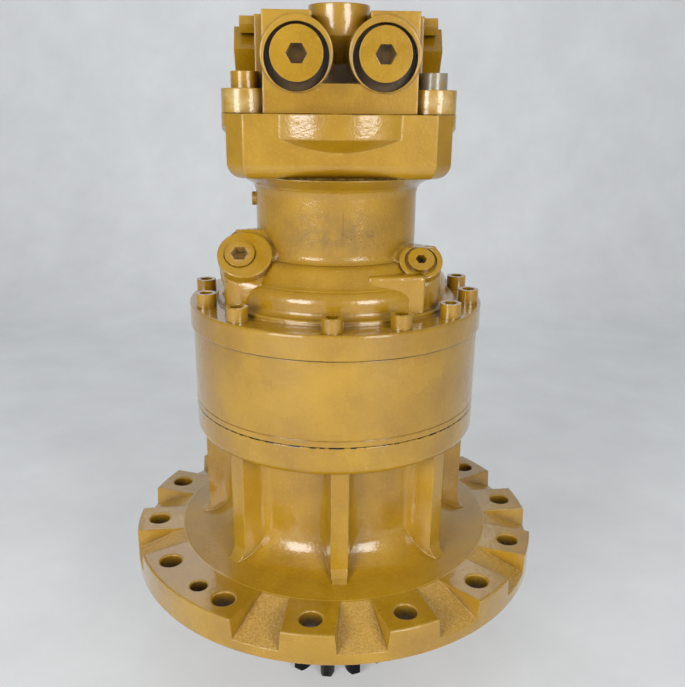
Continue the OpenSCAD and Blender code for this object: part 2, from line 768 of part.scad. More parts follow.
module output_bearing_cones() color(raw_steel) {
    upside_down(lower_bearing_z, lower_bearing[2]) bearing_cone(lower_bearing);
    translate([0, 0, upper_bearing_z]) bearing_cone(upper_bearing);
}

module lower_bearing_rollers() color(raw_steel)
    upside_down(lower_bearing_z, lower_bearing[2]) bearing_rollers(lower_bearing);

module upper_bearing_rollers() color(raw_steel)
    translate([0, 0, upper_bearing_z]) bearing_rollers(upper_bearing);

// Planetary stages
module each_planet(centre) for (i = [0 : planet_count - 1]) rotate([0, 0, i * 360 / planet_count])
    translate([centre, 0, 0]) children();

module planet(stage, i) {
    centre = stage == 1 ? centre_1 : centre_2;
    teeth = stage == 1 ? planet_1_teeth : planet_2_teeth;
    bore_r = stage == 1 ? planet_1_bore_r : planet_2_bore_r;
    face = stage == 1 ? face_1 : face_2;
    color(raw_steel) rotate([0, 0, i * 360 / planet_count])
        translate([centre, 0, stage == 1 ? planet_1_z : planet_2_z]) difference() {
            gear(gear_m, teeth, face);
            translate([0, 0, -lap]) cylinder(r = bore_r, h = face + 2 * lap);
        }
}

// Two plates joined by three webs, with the planets between them
module carrier(plate_r, from_z, plate, centre, planet_z, face, top, open_r, pin_d) difference() {
    union() {
        translate([0, 0, from_z]) cylinder(r = plate_r, h = plate);
        translate([0, 0, planet_z + face + side_gap]) cylinder(r = plate_r, h = top);
        for (i = [0 : planet_count - 1]) rotate([0, 0, (i + 0.5) * 360 / planet_count - web_half_a])
            translate([0, 0, from_z + plate - lap]) rotate_extrude(angle = 2 * web_half_a)
                translate([centre - 7, 0]) square([plate_r - centre + 6, face + 2 * side_gap + 2 * lap]);
    }
    translate([0, 0, planet_z - side_gap / 2])
        cylinder(r = open_r, h = face + top + 2 * side_gap + lap);
    each_planet(centre) translate([0, 0, from_z - lap])
        cylinder(d = pin_d + 2 * seat_gap, h = planet_z - from_z + face + side_gap + top + 2 * lap);
}

module carrier_2() color(raw_steel) difference() {
    union() {
        carrier(carrier_2_r, carrier_2_z, carrier_2_plate, centre_2, planet_2_z, face_2,
            carrier_2_top, sun_2_tip_r + 4, pin_2_d);
        translate([0, 0, carrier_2_hub_z])
            cylinder(r = carrier_2_hub_r, h = carrier_2_z - carrier_2_hub_z + lap);
    }
    translate([0, 0, carrier_2_hub_z - lap])
        linear_extrude(carrier_2_z + carrier_2_plate - carrier_2_hub_z + 2 * lap)
            spline_2d(output_spline, seat_gap);
}

module carrier_1() color(raw_steel) difference() {
    carrier(carrier_1_r, carrier_1_z, carrier_1_plate, centre_1, planet_1_z, face_1,
        carrier_1_top, sun_1_tip_r + 4, pin_1_d);
    translate([0, 0, carrier_1_z - lap]) linear_extrude(carrier_1_plate + 2 * lap)
        spline_2d(sun_2_spline, seat_gap);
}

module planet_pins(centre, d, from, to) color(raw_steel) each_planet(centre)
    translate([0, 0, from]) cylinder(d = d, h = to - from);

module planet_needles(centre, pin_d, needle_r, from, face) color(raw_steel) each_planet(centre)
    for (i = [0 : needle_count - 1]) rotate([0, 0, i * 360 / needle_count])
        translate([pin_d / 2 + needle_r + run_gap, 0, from + 1]) cylinder(r = needle_r, h = face - 2);

module planet_2_pins() planet_pins(centre_2, pin_2_d, carrier_2_z, carrier_2_end);
module planet_1_pins() planet_pins(centre_1, pin_1_d, carrier_1_z, carrier_1_end);
module planet_2_needles() planet_needles(centre_2, pin_2_d, needle_2_r, planet_2_z, face_2);
module planet_1_needles() planet_needles(centre_1, pin_1_d, needle_1_r, planet_1_z, face_1);

// An odd planet shows the sun a gap where an even one shows it a tooth
function sun_phase(sun, planet) = planet % 2 == 0 ? 180 / sun : 0;

module sun_gear_2() color(raw_steel) {
    rotate([0, 0, sun_phase(sun_2_teeth, planet_2_teeth)])
        translate([0, 0, planet_2_z]) gear(gear_m, sun_2_teeth, face_2);
    translate([0, 0, planet_2_z + face_2 - lap])
        cylinder(r = sun_2_spline[1] - 0.6, h = carrier_1_z + carrier_1_plate - planet_2_z - face_2 + lap);
    translate([0, 0, carrier_1_z]) linear_extrude(carrier_1_plate) spline_2d(sun_2_spline);
}

module sun_gear_1() color(raw_steel) difference() {
    union() {
        rotate([0, 0, sun_phase(sun_1_teeth, planet_1_teeth)])
            translate([0, 0, planet_1_z]) gear(gear_m, sun_1_teeth, face_1);
        translate([0, 0, planet_1_z + face_1 - lap])
            cylinder(r = sun_1_neck_r, h = sun_1_end - planet_1_z - face_1 + lap);
    }
    translate([0, 0, planet_1_z - lap]) linear_extrude(sun_1_end - planet_1_z + 2 * lap)
        spline_2d(sun_1_spline, seat_gap);
}

// Motor shaft with its bearings and seal
module motor_shaft() color(raw_steel) {
    journal_r = motor_shaft_d / 2 - seat_gap;
    translate([0, 0, planet_1_z + 2]) linear_extrude(sun_1_end - planet_1_z)
        spline_2d(sun_1_spline);
    rotate_extrude() polygon([
        [0, planet_1_z + 2], [sun_1_spline[1], planet_1_z + 2], [sun_1_spline[1], sun_1_end + 1],
        [journal_r, sun_1_end + 1], [journal_r, swash_floor_z], [journal_r + 1.5, swash_floor_z],
        [journal_r + 1.5, guide_end], [shaft_spline[1], guide_end], [shaft_spline[1], block_top - 30],
        [end_journal_r, block_top - 26], [end_journal_r, joint_z + end_bearing_l],
        [0, joint_z + end_bearing_l]
    ]);
    translate([0, 0, block_z + 4]) linear_extrude(block_top - 34 - block_z) spline_2d(shaft_spline);
}

module shaft_oil_seal() color(seal_black) translate([0, 0, seal_seat_z])
    lip_seal(motor_shaft_d / 2, seal_seat_r - seat_gap, seal_w);

module shaft_bearing_cup() color(raw_steel) translate([0, 0, shaft_bearing_z])
    bearing_cup(shaft_bearing);
module shaft_bearing_cone() color(raw_steel) translate([0, 0, shaft_bearing_z])
    bearing_cone(shaft_bearing);
module shaft_bearing_rollers() color(raw_steel) translate([0, 0, shaft_bearing_z])
    bearing_rollers(shaft_bearing);

module end_bearing() color(bronze) translate([0, 0, joint_z])
    tube(end_bearing_r - seat_gap, end_journal_r + run_gap, end_bearing_l);

// Swash plate and rotating group. The plate's sliding face tilts about X.
module swash_plate() color(raw_steel) difference() {
    intersection() {
        translate([0, 0, swash_floor_z]) cylinder(r = swash_r, h = swash_r);
        translate([0, 0, swash_z]) rotate([swash_a, 0, 0])
            translate([-2 * swash_r, -2 * swash_r, -4 * swash_r]) cube(4 * swash_r);
    }
    translate([0, 0, swash_floor_z - lap]) cylinder(r = swash_bore_r, h = 2 * swash_r);
}

function piston_at(i) = let (p = polar(piston_pcd / 2, i * 360 / piston_count))
    [p[0], p[1], swash_z + p[1] * tan(swash_a) + shoe_h / cos(swash_a)];
module each_shoe() for (i = [0 : piston_count - 1]) translate(piston_at(i))
    rotate([swash_a, 0, 0]) children();

module piston_shoes() color(bronze) each_shoe() difference() {
    union() {
        translate([0, 0, -shoe_h]) cylinder(r = slipper_r, h = slipper_t);
        translate([0, 0, -shoe_h + slipper_t - lap])
            cylinder(r = shoe_neck_r, h = shoe_h - slipper_t + lap + shoe_top);
    }
    sphere(ball_r + run_gap);
    translate([0, 0, -shoe_h - lap]) cylinder(r = 6, h = 1.5);
    translate([0, 0, -shoe_h]) cylinder(r = 1, h = shoe_h);
}

module shoe_retainer() color(raw_steel) difference() {
    translate([0, 0, swash_z]) rotate([swash_a, 0, 0]) translate([0, 0, slipper_t])
        cylinder(r = retainer_r, h = retainer_t);
    translate([0, 0, guide_z]) sphere(guide_r + run_gap);
    each_shoe() translate([0, 0, -shoe_h]) cylinder(r = shoe_neck_r + 0.4, h = 2 * shoe_h);
}

module retainer_guide() color(bronze) difference() {
    intersection() {
        translate([0, 0, guide_z]) sphere(guide_r);
        translate([0, 0, swash_z + 2]) cylinder(r = guide_r + 1, h = guide_end - swash_z - 2);
    }
    translate([0, 0, swash_z]) cylinder(r = block_bore_r, h = guide_r);
}

module pistons() color(raw_steel) for (i = [0 : piston_count - 1]) translate(piston_at(i))
    difference() {
        union() {
            sphere(ball_r);
            cylinder(r = 4.6, h = piston_from + lap);
            translate([0, 0, piston_from]) cylinder(r = piston_r, h = piston_l - piston_from);
        }
        translate([0, 0, 24]) cylinder(r = 6.5, h = piston_l);
        translate([0, 0, -ball_r - lap]) cylinder(r = 1, h = 40);
    }

module cylinder_block() color(raw_steel) difference() {
    union() {
        translate([0, 0, guide_end]) cylinder(r = block_bore_r + 4.5, h = block_z - guide_end + lap);
        translate([0, 0, block_z]) cylinder(d = block_d, h = block_top - block_z);
        translate([0, 0, brake_floor_z - 8]) linear_extrude(brake_pack_t + 14) spline_2d(block_spline);
    }
    translate([0, 0, guide_end - lap]) cylinder(r = block_bore_r, h = block_top);
    translate([0, 0, spring_room_z]) cylinder(r = spring_room_r, h = spring_room_h);
    for (i = [0 : piston_count - 1]) rotate([0, 0, i * 360 / piston_count])
        translate([piston_pcd / 2, 0, 0]) {
            translate([0, 0, block_z - lap]) cylinder(d = piston_d, h = block_top - block_z - 16);
            translate([kidney_r - piston_pcd / 2, 0, block_z])
                cylinder(d = kidney_w, h = block_top - block_z + lap);
        }
}

module block_spring() color(raw_steel) translate([0, 0, spring_room_z])
    coil_spring(spring_room_r - 3, 1.8, spring_room_h, 4);

// The two kidney-shaped ports that the block's bores sweep over
module kidneys(h) for (side = [0, 180]) rotate([0, 0, side - kidney_a / 2]) {
    rotate_extrude(angle = kidney_a) translate([kidney_r - kidney_w / 2, 0]) square([kidney_w, h]);
    // The round ends stay a hair inside the slot's walls
    for (a = [0, kidney_a]) rotate([0, 0, a]) translate([kidney_r, 0, 0])
        cylinder(d = kidney_w - 0.2, h = h);
}

module valve_plate() color(bronze) translate([0, 0, block_top]) difference() {
    tube(block_d / 2, shaft_spline[0] + 3, valve_plate_t);
    translate([0, 0, -lap]) kidneys(valve_plate_t + 2 * lap);
}

// Parking brake
module friction_plates() color(bronze) for (i = [0 : brake_plates - 1])
    translate([0, 0, brake_floor_z + separator_t + i * (separator_t + friction_t)]) difference() {
        cylinder(r = brake_room_r - 3.3, h = friction_t);
        translate([0, 0, -lap]) linear_extrude(friction_t + 2 * lap) spline_2d(block_spline, 0.2);
    }

module tabs_2d(gap) for (i = [0 : tab_count - 1]) rotate(i * 360 / tab_count)
    translate([brake_room_r - 10, -tab_w / 2 - gap])
        square([tab_r + gap - brake_room_r + 10, tab_w + 2 * gap]);

module separator_plates() color(raw_steel) for (i = [0 : brake_plates])
    translate([0, 0, brake_floor_z + i * (separator_t + friction_t)]) difference() {
        union() {
            cylinder(r = brake_room_r - 0.3, h = separator_t);
            linear_extrude(separator_t) tabs_2d(-0.2);
        }
        translate([0, 0, -lap]) cylinder(r = block_spline[0] + 1.5, h = separator_t + 2 * lap);
    }

module brake_piston() color(raw_steel) difference() {
    rotate_extrude() polygon([
        [block_spline[0] + 1.5, brake_press_z], [brake_room_r - 1.5, brake_press_z],
        [brake_room_r - 1.5, brake_guide_z + 2], [brake_guide_r - run_gap, brake_guide_z + 2],
        [brake_guide_r - run_gap, brake_step_z + 3], [brake_head_r - run_gap, brake_step_z + 3],
        [brake_head_r - run_gap, brake_top_z], [block_spline[0] + 1.5, brake_top_z]
    ]);
    each_brake_spring() translate([0, 0, brake_top_z - brake_pocket])
        cylinder(r = brake_pocket_r, h = brake_pocket + lap);
}

module each_brake_spring() for (i = [0 : brake_spring_count - 1])
    rotate([0, 0, 22.5 + i * 360 / brake_spring_count]) translate([brake_spring_pcr, 0, 0]) children();

module brake_springs() color(raw_steel) each_brake_spring()
    translate([0, 0, brake_top_z - brake_pocket])
        coil_spring(brake_spring_r, 1.2, joint_z - brake_top_z + brake_pocket, 4);

// Motor casing
module casing_outer_2d() {
    barrel_r = barrel_d / 2;
    cover_r = cover_d / 2;
    register_r = register_d / 2;
    polygon([
        [0, case_top], [cover_r - 1, case_top], [cover_r, case_top + 1], [cover_r, plate_z - 1.5],
        [cover_r - 1.5, plate_z], [register_r, plate_z], [register_r, plate_z + 4],
        [register_r - 1.5, plate_z + 5.5], [bead_d / 2, plate_z + 5.5], [bead_d / 2, bead_z],
        [0, bead_z]
    ]);
    corner_fill(bead_d / 2, plate_z + 5.5, 6, 1, 1);
    translate([bead_d / 2 - bead_r, bead_z]) circle(bead_r);
    translate([0, bead_z - lap]) square([bead_d / 2 - bead_r, bead_r + lap]);
    corner_fill(neck_ring_r, bead_z + bead_r, bead_d / 2 - bead_r - neck_ring_r, 1, 1);
    translate([0, bead_z]) square([neck_ring_r, neck_ring_z - bead_z]);
    corner_fill(barrel_r, neck_ring_z, neck_ring_r - barrel_r - 1, 1, 1);
    translate([0, neck_ring_z - lap]) square([barrel_r, head_z + 20 - neck_ring_z]);
}

// Corners of an octagon with half sides x and y and its corners cut off
function octagon(x, y, cut) = [
    [x - cut, -y], [x, cut - y], [x, y - cut], [x - cut, y], [cut - x, y], [-x, y - cut],
    [-x, cut - y], [cut - x, -y]
];

module corner_lobes(r, h) for (x = [-1, 1], y = [-1, 1])
    translate([x * corner_x / 2, y * corner_y / 2, 0]) cylinder(r = r, h = h);

// Room over a slope that rises outwards from radius r at height z
module over_slope(r, z) rotate_extrude() polygon([
    [0, z], [r, z], [r + (joint_z - z) / tan(head_slope), joint_z], [0, joint_z]
]);

// Square head with its lower edges rounded, on a cone that rises from the barrel
module casing_head() {
    points = octagon(head_w / 2, head_l / 2, head_cut);
    difference() {
        translate([0, 0, head_side_z]) linear_extrude(joint_z - head_side_z) polygon(points);
        for (i = [0 : len(points) - 1]) {
            side = points[(i + 1) % len(points)] - points[i];
            translate([points[i][0], points[i][1], head_side_z])
                rotate([0, 0, atan2(side[1], side[0])]) difference() {
                    translate([-head_round, -lap, -lap])
                        cube([norm(side) + 2 * head_round, head_round + lap, head_round + lap]);
                    translate([-2 * head_round, head_round - sink, head_round - sink]) rotate([0, 90, 0])
                        cylinder(r = head_round, h = norm(side) + 4 * head_round);
                }
        }
    }
    rotate_extrude() polygon([
        [0, head_z - 10], [barrel_d / 2, head_z - 10], [barrel_d / 2 + 1.5, head_z - 3],
        [barrel_d / 2 + 5, head_z + 1.5],
        [barrel_d / 2 + 5 + (head_side_z - head_z) / tan(under_slope), head_side_z + lap],
        [0, head_side_z + lap]
    ]);
    intersection() {
        translate([0, 0, joint_z - lobe_h]) corner_lobes(corner_r, lobe_h);
        translate([0, 0, joint_z - lobe_h]) rotate_extrude() polygon([
            [0, 0], [head_w / 2 + 10, 0], [head_w / 2 + 80, 70 * tan(under_slope)], [0, 70 * tan(under_slope)]
        ]);
    }
}

// Room in front of a plane that stands at 45 degrees, some way behind a lug's face
module before_face(at, back) translate(at) rotate([45, 0, 0]) translate([-100, -100, -back]) cube(200);

// Lug with a face at 45 degrees: a tilted boss on an upright foot, tied to the barrel by a web
module lug(at, form) {
    foot = [at[0] + form[1], at[1] + lug_foot_y];
    top = form[3];
    difference() {
        translate([foot[0], foot[1], plate_z - lap]) cylinder(r = form[2], h = top - plate_z);
        before_face(at, foot_back);
    }
    difference() {
        translate([0, 0, plate_z - lap]) rotate([0, 0, atan2(foot[1], foot[0])])
            translate([0, -form[2] + 3, 0]) cube([norm(foot), 2 * form[2] - 6, top - plate_z + lap]);
        before_face(at, web_back);
    }
    difference() {
        translate(at) rotate([45, 0, 0]) translate([form[1], 0, -lug_boss_l])
            cylinder(r = form[0], h = lug_boss_l);
        translate([at[0] - 100, at[1] - 100, top - sink]) cube(200);
    }
}

// Bore for a lug's plug: a shallow seat and a thread
module lug_bore(at, ring_d, room) translate(at) rotate([45, 0, 0]) {
    translate([0, 0, -lug_plug_sink]) cylinder(d = ring_d + 2 * room, h = lug_plug_sink + lap);
    translate([0, 0, -lug_plug_sink - lug_plug_thread])
        cylinder(d = ring_d - 10 + 2 * seat_gap, h = lug_plug_thread + lap);
}

module casing_inner_2d() polygon([
    [0, case_top - lap], [carrier_1_r + 4, case_top - lap], [carrier_1_r + 4, seal_seat_z - 2],
    [carrier_1_r + 2, seal_seat_z], [seal_seat_r, seal_seat_z], [seal_seat_r, seal_lip_z],
    [motor_shaft_d / 2 + 3, seal_lip_z], [motor_shaft_d / 2 + 3, shaft_bearing_z],
    [shaft_bearing[1], shaft_bearing_z], [shaft_bearing[1], swash_floor_z],
    [swash_room_r, swash_floor_z], [swash_room_r, brake_floor_z], [brake_room_r, brake_floor_z],
    [brake_room_r, brake_guide_z], [brake_guide_r, brake_guide_z], [brake_guide_r, brake_step_z],
    [brake_head_r, brake_step_z], [brake_head_r, joint_z + lap], [0, joint_z + lap]
]);

module each_corner() for (x = [-1, 1], y = [-1, 1])
    translate([x * corner_x / 2, y * corner_y / 2, 0]) children();

module o_ring_groove(r) tube(r + o_ring_r, r - o_ring_r, 2 * o_ring_r);

module motor_housing() color(paint) difference() {
    union() {
        rotate_extrude() casing_outer_2d();
        casing_head();
        // Raised arc on the head's front
        intersection() {
            translate([0, 0, head_z]) cylinder(d = arc_d, h = head_h);
            over_slope(head_l / 2, joint_z - arc_h);
            translate([-75, -arc_d, head_z]) cube([150, arc_d, head_h]);
        }
        lug(fill_at, fill_lug);
        lug(vent_at, vent_lug);
        // Low arm from the vent lug along the barrel's foot
        translate([0, 0, plate_z - lap]) linear_extrude(arm_top + lap)
            polygon([[38, -113], [93, -109], [93, -60], [20, -90]]);
        // Small cast boss on the barrel's left
        translate([-barrel_d / 2 + 2, 0, head_z - 19]) rotate([0, -90, 0]) cylinder(r = 8, h = 7);
        // Drain port boss on the barrel's back
        translate([0, 0, drain_z]) rotate([-90, 0, 0]) cylinder(r = 2.4 * drain_r, h = drain_y);
    }
    rotate_extrude() casing_inner_2d();
    translate([0, 0, brake_floor_z]) linear_extrude(brake_guide_z - brake_floor_z + lap) tabs_2d(0);
    each_cover_bolt() translate([0, 0, case_top - lap])
        cylinder(d = cover_bolt_d + 1.5, h = cover_t + 2 * lap);
    each_corner() translate([0, 0, joint_z - corner_hole])
        cylinder(d = corner_bolt_d + 2 * seat_gap, h = corner_hole + lap);
    translate([0, 0, case_top - lap / 2]) o_ring_groove(o_ring_seat_r);
    translate([0, 0, joint_z - 2 * o_ring_r + lap / 2]) o_ring_groove(head_seal_r);
    lug_bore(fill_at, fill_plug_d, 0.5);
    lug_bore(vent_at, vent_plug_d, vent_room);
    translate([0, swash_room_r - 10, drain_z]) rotate([-90, 0, 0])
        cylinder(r = drain_r, h = drain_y - swash_room_r + 10 + lap);
    translate([0, brake_head_r - 0.5, brake_port_z]) rotate([-90, 0, 0]) {
        cylinder(r = brake_port_r, h = head_l / 2 - brake_head_r + 0.5 + lap);
        cylinder(r = brake_port_r + 1.5, h = brake_mouth);
    }
}

module lug_plug(at, ring_d, proud, socket) color(paint) translate(at) rotate([45, 0, 0]) difference() {
    union() {
        translate([0, 0, -lug_plug_sink]) cylinder(d = ring_d, h = lug_plug_sink + proud);
        translate([0, 0, 1 - lug_plug_sink - lug_plug_thread])
            cylinder(d = ring_d - 10, h = lug_plug_thread);
    }
    translate([0, 0, -10]) cylinder(d = socket / cos(30), h = 20, $fn = 6);
}

module fill_plug() lug_plug(fill_at, fill_plug_d, 2.5, 17);
module vent_plug() lug_plug(vent_at, vent_plug_d, 3, 11);

// Valve block
// Axis of a make-up valve and main port, as local +Z towards the front
module each_plug() for (side = [-1, 1]) translate([side * plug_x, 0, joint_z + plug_z])
    rotate([90, 0, 0]) children();
plug_seat = front_y - counterbore + plug_boss;

module valve_block() color(paint) difference() {
    union() {
        translate([0, 0, joint_z]) {
            linear_extrude(base_t) polygon(octagon(head_w / 2, base_y, head_cut));
            corner_lobes(corner_r - 0.5, base_t);
        }
        translate([-body_w / 2, -body_y, joint_z]) cube([body_w, body_y + back_y, block_h]);
        // Front, with a valley between the two plug bosses
        difference() {
            translate([-front_w / 2, -front_y, joint_z]) cube([front_w, front_y, block_h]);
            translate([-valley_x, -front_y - lap, valley_z])
                cube([2 * valley_x, front_y - body_y + lap, block_h]);
        }
        each_plug() translate([0, 0, body_y - lap])
            cylinder(r = plug_boss_r, h = front_y - body_y + plug_boss + lap);
        // Top boss, standing on a cone that leans on the body's front
        translate([0, top_boss_y, joint_z]) rotate_extrude() polygon([
            [0, top_cone[1]], [top_cone[0], top_cone[1]], [top_boss_r, top_cone[2]],
            [top_boss_r, block_h + top_boss_h], [0, block_h + top_boss_h]
        ]);
        // Pads of the main ports on the back
        each_plug() translate([-25, -40, -back_y - pad_t]) cube([50, 80, pad_t + lap]);
    }
    translate([0, 0, joint_z - lap]) {
        cylinder(r = end_bearing_r, h = end_bearing_l + lap);
        cylinder(r = end_journal_r + 1, h = end_bearing_l + 4);
        kidneys(18);
        each_corner() cylinder(d = corner_bolt_d + 2, h = base_t + 2 * lap);
    }
    // Room for the corner bolts' heads beside the body
    each_corner() translate([0, 0, joint_z + base_t]) cylinder(d = 1.5 * corner_bolt_d + 2, h = block_h);
    // Risers from the kidney ports to the make-up valves
    for (side = [-1, 1]) translate([side * piston_pcd / 2, 0, joint_z + 12])
        cylinder(r = 8, h = plug_z - 12);
    each_plug() {
        translate([0, 0, -seat_y]) cylinder(r = makeup_bore_r, h = front_y + seat_y + lap);
        translate([0, 0, -gallery_y]) cylinder(r = gallery_r, h = gallery_y - seat_y + lap);
        translate([0, -recess_drop, plug_seat]) cylinder(r = counterbore_r, h = 3 * counterbore);
        translate([0, 0, -back_y - pad_t - lap]) {
            cylinder(d = port_d, h = back_y + pad_t + 2 * lap - gallery_y);
            for (x = [-1, 1], z = [-1, 1])
                translate([x * port_screw_x / 2, z * port_screw_z / 2, 0])
                    cylinder(r = port_screw_r, h = port_screw_l + lap);
        }
    }
    for (side = [-1, 1]) {
        translate([side * (body_w / 2 + lap), relief_y, relief_z]) rotate([0, -side * 90, 0])
            cylinder(r = relief_r, h = relief_in + lap);
        translate([side * (body_w / 2 + lap), gauge_y, gauge_z]) rotate([0, -side * 90, 0])
            cylinder(r = gauge_r, h = 16 + lap);
        translate([side * top_plug_x, top_plug_y, joint_z + block_h - 12])
            cylinder(r = gauge_r, h = 12 + lap);
    }
    translate([0, top_boss_y, joint_z + block_h + top_boss_h - makeup_port_l])
        cylinder(r = makeup_port_r, h = makeup_port_l + lap);
}
pad_t = 6;
port_screw_r = 5.1;
port_screw_l = 22;
top_plug_x = 40;
top_plug_y = 0;
makeup_port_l = 20;

module valve_block_bolts() color(paint) each_corner()
    translate([0, 0, joint_z + base_t]) socket_screw(corner_bolt_d, base_t + 38, 17, corner_head_h);

module makeup_plugs() color(paint) each_plug() difference() {
    union() {
        translate([0, 0, plug_seat]) cylinder(d = plug_d, h = front_y + plug_proud - plug_seat);
        translate([0, 0, plug_seat - 18]) cylinder(r = makeup_bore_r - seat_gap, h = 18 + lap);
    }
    translate([0, 0, plug_seat + 4]) cylinder(d = plug_hex / cos(30), h = 40, $fn = 6);
    translate([0, 0, plug_seat - 19]) cylinder(r = 14, h = 15);
}

// A check valve's poppet closes the passage and opens towards its plug
module makeup_poppet(side) color(raw_steel) translate([side * plug_x, seat_y, joint_z + plug_z])
    rotate([90, 0, 0]) {
        cylinder(r = makeup_bore_r - 4, h = 5);
        cylinder(r = 8, h = 12);
        translate([0, 0, -6]) cylinder(r1 = 6, r2 = port_d / 2 - 1, h = 6 + lap);
    }
module makeup_poppet_left() makeup_poppet(-1);
module makeup_poppet_right() makeup_poppet(1);

module makeup_spring(side) color(raw_steel) translate([side * plug_x, seat_y - 5, joint_z + plug_z])
    rotate([90, 0, 0]) coil_spring(11, 1.1, plug_seat - 4 + seat_y - 5 - makeup_poppet_travel - lap, 4);
module makeup_spring_left() makeup_spring(-1);
module makeup_spring_right() makeup_spring(1);

// Relief valve's cartridge, with its hex cap outside
module each_relief() for (side = [-1, 1]) relief_place(side) children();
module relief_place(side) translate([side * body_w / 2, relief_y, relief_z])
    rotate([0, side * 90, 0]) children();

module relief_valves() color(paint) each_relief() difference() {
    union() {
        rotate([0, 0, 30]) cylinder(d = relief_cap_af / cos(30), h = relief_cap_l, $fn = 6);
        translate([0, 0, 2 - relief_in]) cylinder(r = relief_r - seat_gap, h = relief_in - 1);
    }
    translate([0, 0, -relief_in]) cylinder(r = relief_bore_r, h = relief_in + 14);
}
relief_bore_r = 8;

module relief_poppet(side) color(raw_steel) relief_place(side) translate([0, 0, 2 - relief_in]) {
    cylinder(r = relief_bore_r - run_gap, h = 22);
    translate([0, 0, -2]) cylinder(r1 = 4, r2 = 6.5, h = 2 + lap);
}
module relief_poppet_left() relief_poppet(-1);
module relief_poppet_right() relief_poppet(1);

module gauge_plugs() color(paint) for (side = [-1, 1]) {
    translate([side * body_w / 2, gauge_y, gauge_z]) rotate([0, side * 90, 0]) {
        rotate([0, 0, 30]) cylinder(d = 17 / cos(30), h = gauge_hex_l, $fn = 6);
        translate([0, 0, -12]) cylinder(r = gauge_r - seat_gap, h = 12 + lap);
    }
    translate([side * top_plug_x, top_plug_y, joint_z + block_h]) difference() {
        union() {
            cylinder(r = 10, h = 5);
            translate([0, 0, -10]) cylinder(r = gauge_r - seat_gap, h = 10 + lap);
        }
        translate([0, 0, -2]) cylinder(d = 6 / cos(30), h = 10, $fn = 6);
    }
}
module planet_1_a() planet(1, 0);
module planet_1_b() planet(1, 1);
module planet_1_c() planet(1, 2);
module planet_2_a() planet(2, 0);
module planet_2_b() planet(2, 1);
module planet_2_c() planet(2, 2);

hub_housing();
ring_gear();
motor_housing();
cover_bolts();
static_o_rings();
seal_carrier();
seal_carrier_ring();
output_oil_seal();
pinion_shaft();
bearing_spacer();
bearing_lock_nut();
output_bearing_cups();
output_bearing_cones();
lower_bearing_rollers();
upper_bearing_rollers();
carrier_2();
planet_2_pins();
planet_2_needles();
planet_2_a();
planet_2_b();
planet_2_c();
sun_gear_2();
carrier_1();
planet_1_pins();
planet_1_needles();
planet_1_a();
planet_1_b();
planet_1_c();
sun_gear_1();
motor_shaft();
shaft_oil_seal();
shaft_bearing_cup();
shaft_bearing_cone();
shaft_bearing_rollers();
end_bearing();
swash_plate();
piston_shoes();
shoe_retainer();
retainer_guide();
pistons();
cylinder_block();
block_spring();
valve_plate();
friction_plates();
separator_plates();
brake_piston();
brake_springs();
valve_block();
valve_block_bolts();
makeup_plugs();
makeup_poppet_left();
makeup_poppet_right();
makeup_spring_left();
makeup_spring_right();
relief_valves();
relief_poppet_left();
relief_poppet_right();
fill_plug();
vent_plug();
gauge_plugs();
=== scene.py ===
import math

import bmesh
import bpy
from mathutils import Matrix, Vector


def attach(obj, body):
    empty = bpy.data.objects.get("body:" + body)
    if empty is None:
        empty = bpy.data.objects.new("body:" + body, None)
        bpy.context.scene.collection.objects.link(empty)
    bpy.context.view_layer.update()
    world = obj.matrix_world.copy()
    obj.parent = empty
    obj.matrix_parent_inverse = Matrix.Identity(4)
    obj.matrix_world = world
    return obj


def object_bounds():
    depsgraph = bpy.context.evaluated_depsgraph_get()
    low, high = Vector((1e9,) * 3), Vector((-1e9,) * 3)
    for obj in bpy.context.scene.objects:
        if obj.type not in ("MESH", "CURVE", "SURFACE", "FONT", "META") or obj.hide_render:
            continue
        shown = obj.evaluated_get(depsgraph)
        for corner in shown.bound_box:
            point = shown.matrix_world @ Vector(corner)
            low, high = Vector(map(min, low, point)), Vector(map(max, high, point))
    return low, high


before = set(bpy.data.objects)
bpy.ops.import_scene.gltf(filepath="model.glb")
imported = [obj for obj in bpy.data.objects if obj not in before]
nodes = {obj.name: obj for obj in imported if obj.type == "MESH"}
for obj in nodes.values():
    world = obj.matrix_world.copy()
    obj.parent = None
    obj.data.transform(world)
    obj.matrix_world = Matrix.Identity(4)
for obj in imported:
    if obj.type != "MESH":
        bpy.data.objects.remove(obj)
cad_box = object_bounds()
scene = bpy.context.scene
scene.view_settings.view_transform = "Standard"


# Camera
# The photograph was taken from the front, a few centimetres left of the middle and level with the
# foot of the valve block, with the camera held upright and tilted down at the cover flange.
CAMERA_DISTANCE = 0.9176
CAMERA_SIDE = 0.0094
CAMERA_HEIGHT = 0.5688
CAMERA_AZIMUTH = math.radians(-2.75)
CAMERA_PITCH = math.radians(18.14)
CAMERA_ROLL = math.radians(0.56)
PHOTO_WIDTH_PX = 685
FOCAL_PX = 749
AXIS_BELOW_CENTRE_PX = 7.4
SENSOR = 36

lens = bpy.data.cameras.new("camera")
camera = bpy.data.objects.new("camera", lens)
scene.collection.objects.link(camera)
scene.camera = camera
lens.sensor_fit = "HORIZONTAL"
lens.sensor_width = SENSOR
lens.lens = SENSOR * FOCAL_PX / PHOTO_WIDTH_PX
lens.shift_y = AXIS_BELOW_CENTRE_PX / PHOTO_WIDTH_PX
camera.matrix_world = (
    Matrix.Rotation(CAMERA_AZIMUTH, 4, "Z")
    @ Matrix.Translation((CAMERA_SIDE, -CAMERA_DISTANCE, CAMERA_HEIGHT))
    @ Matrix.Rotation(math.pi / 2 - CAMERA_PITCH, 4, "X")
    @ Matrix.Rotation(CAMERA_ROLL, 4, "Z")
)


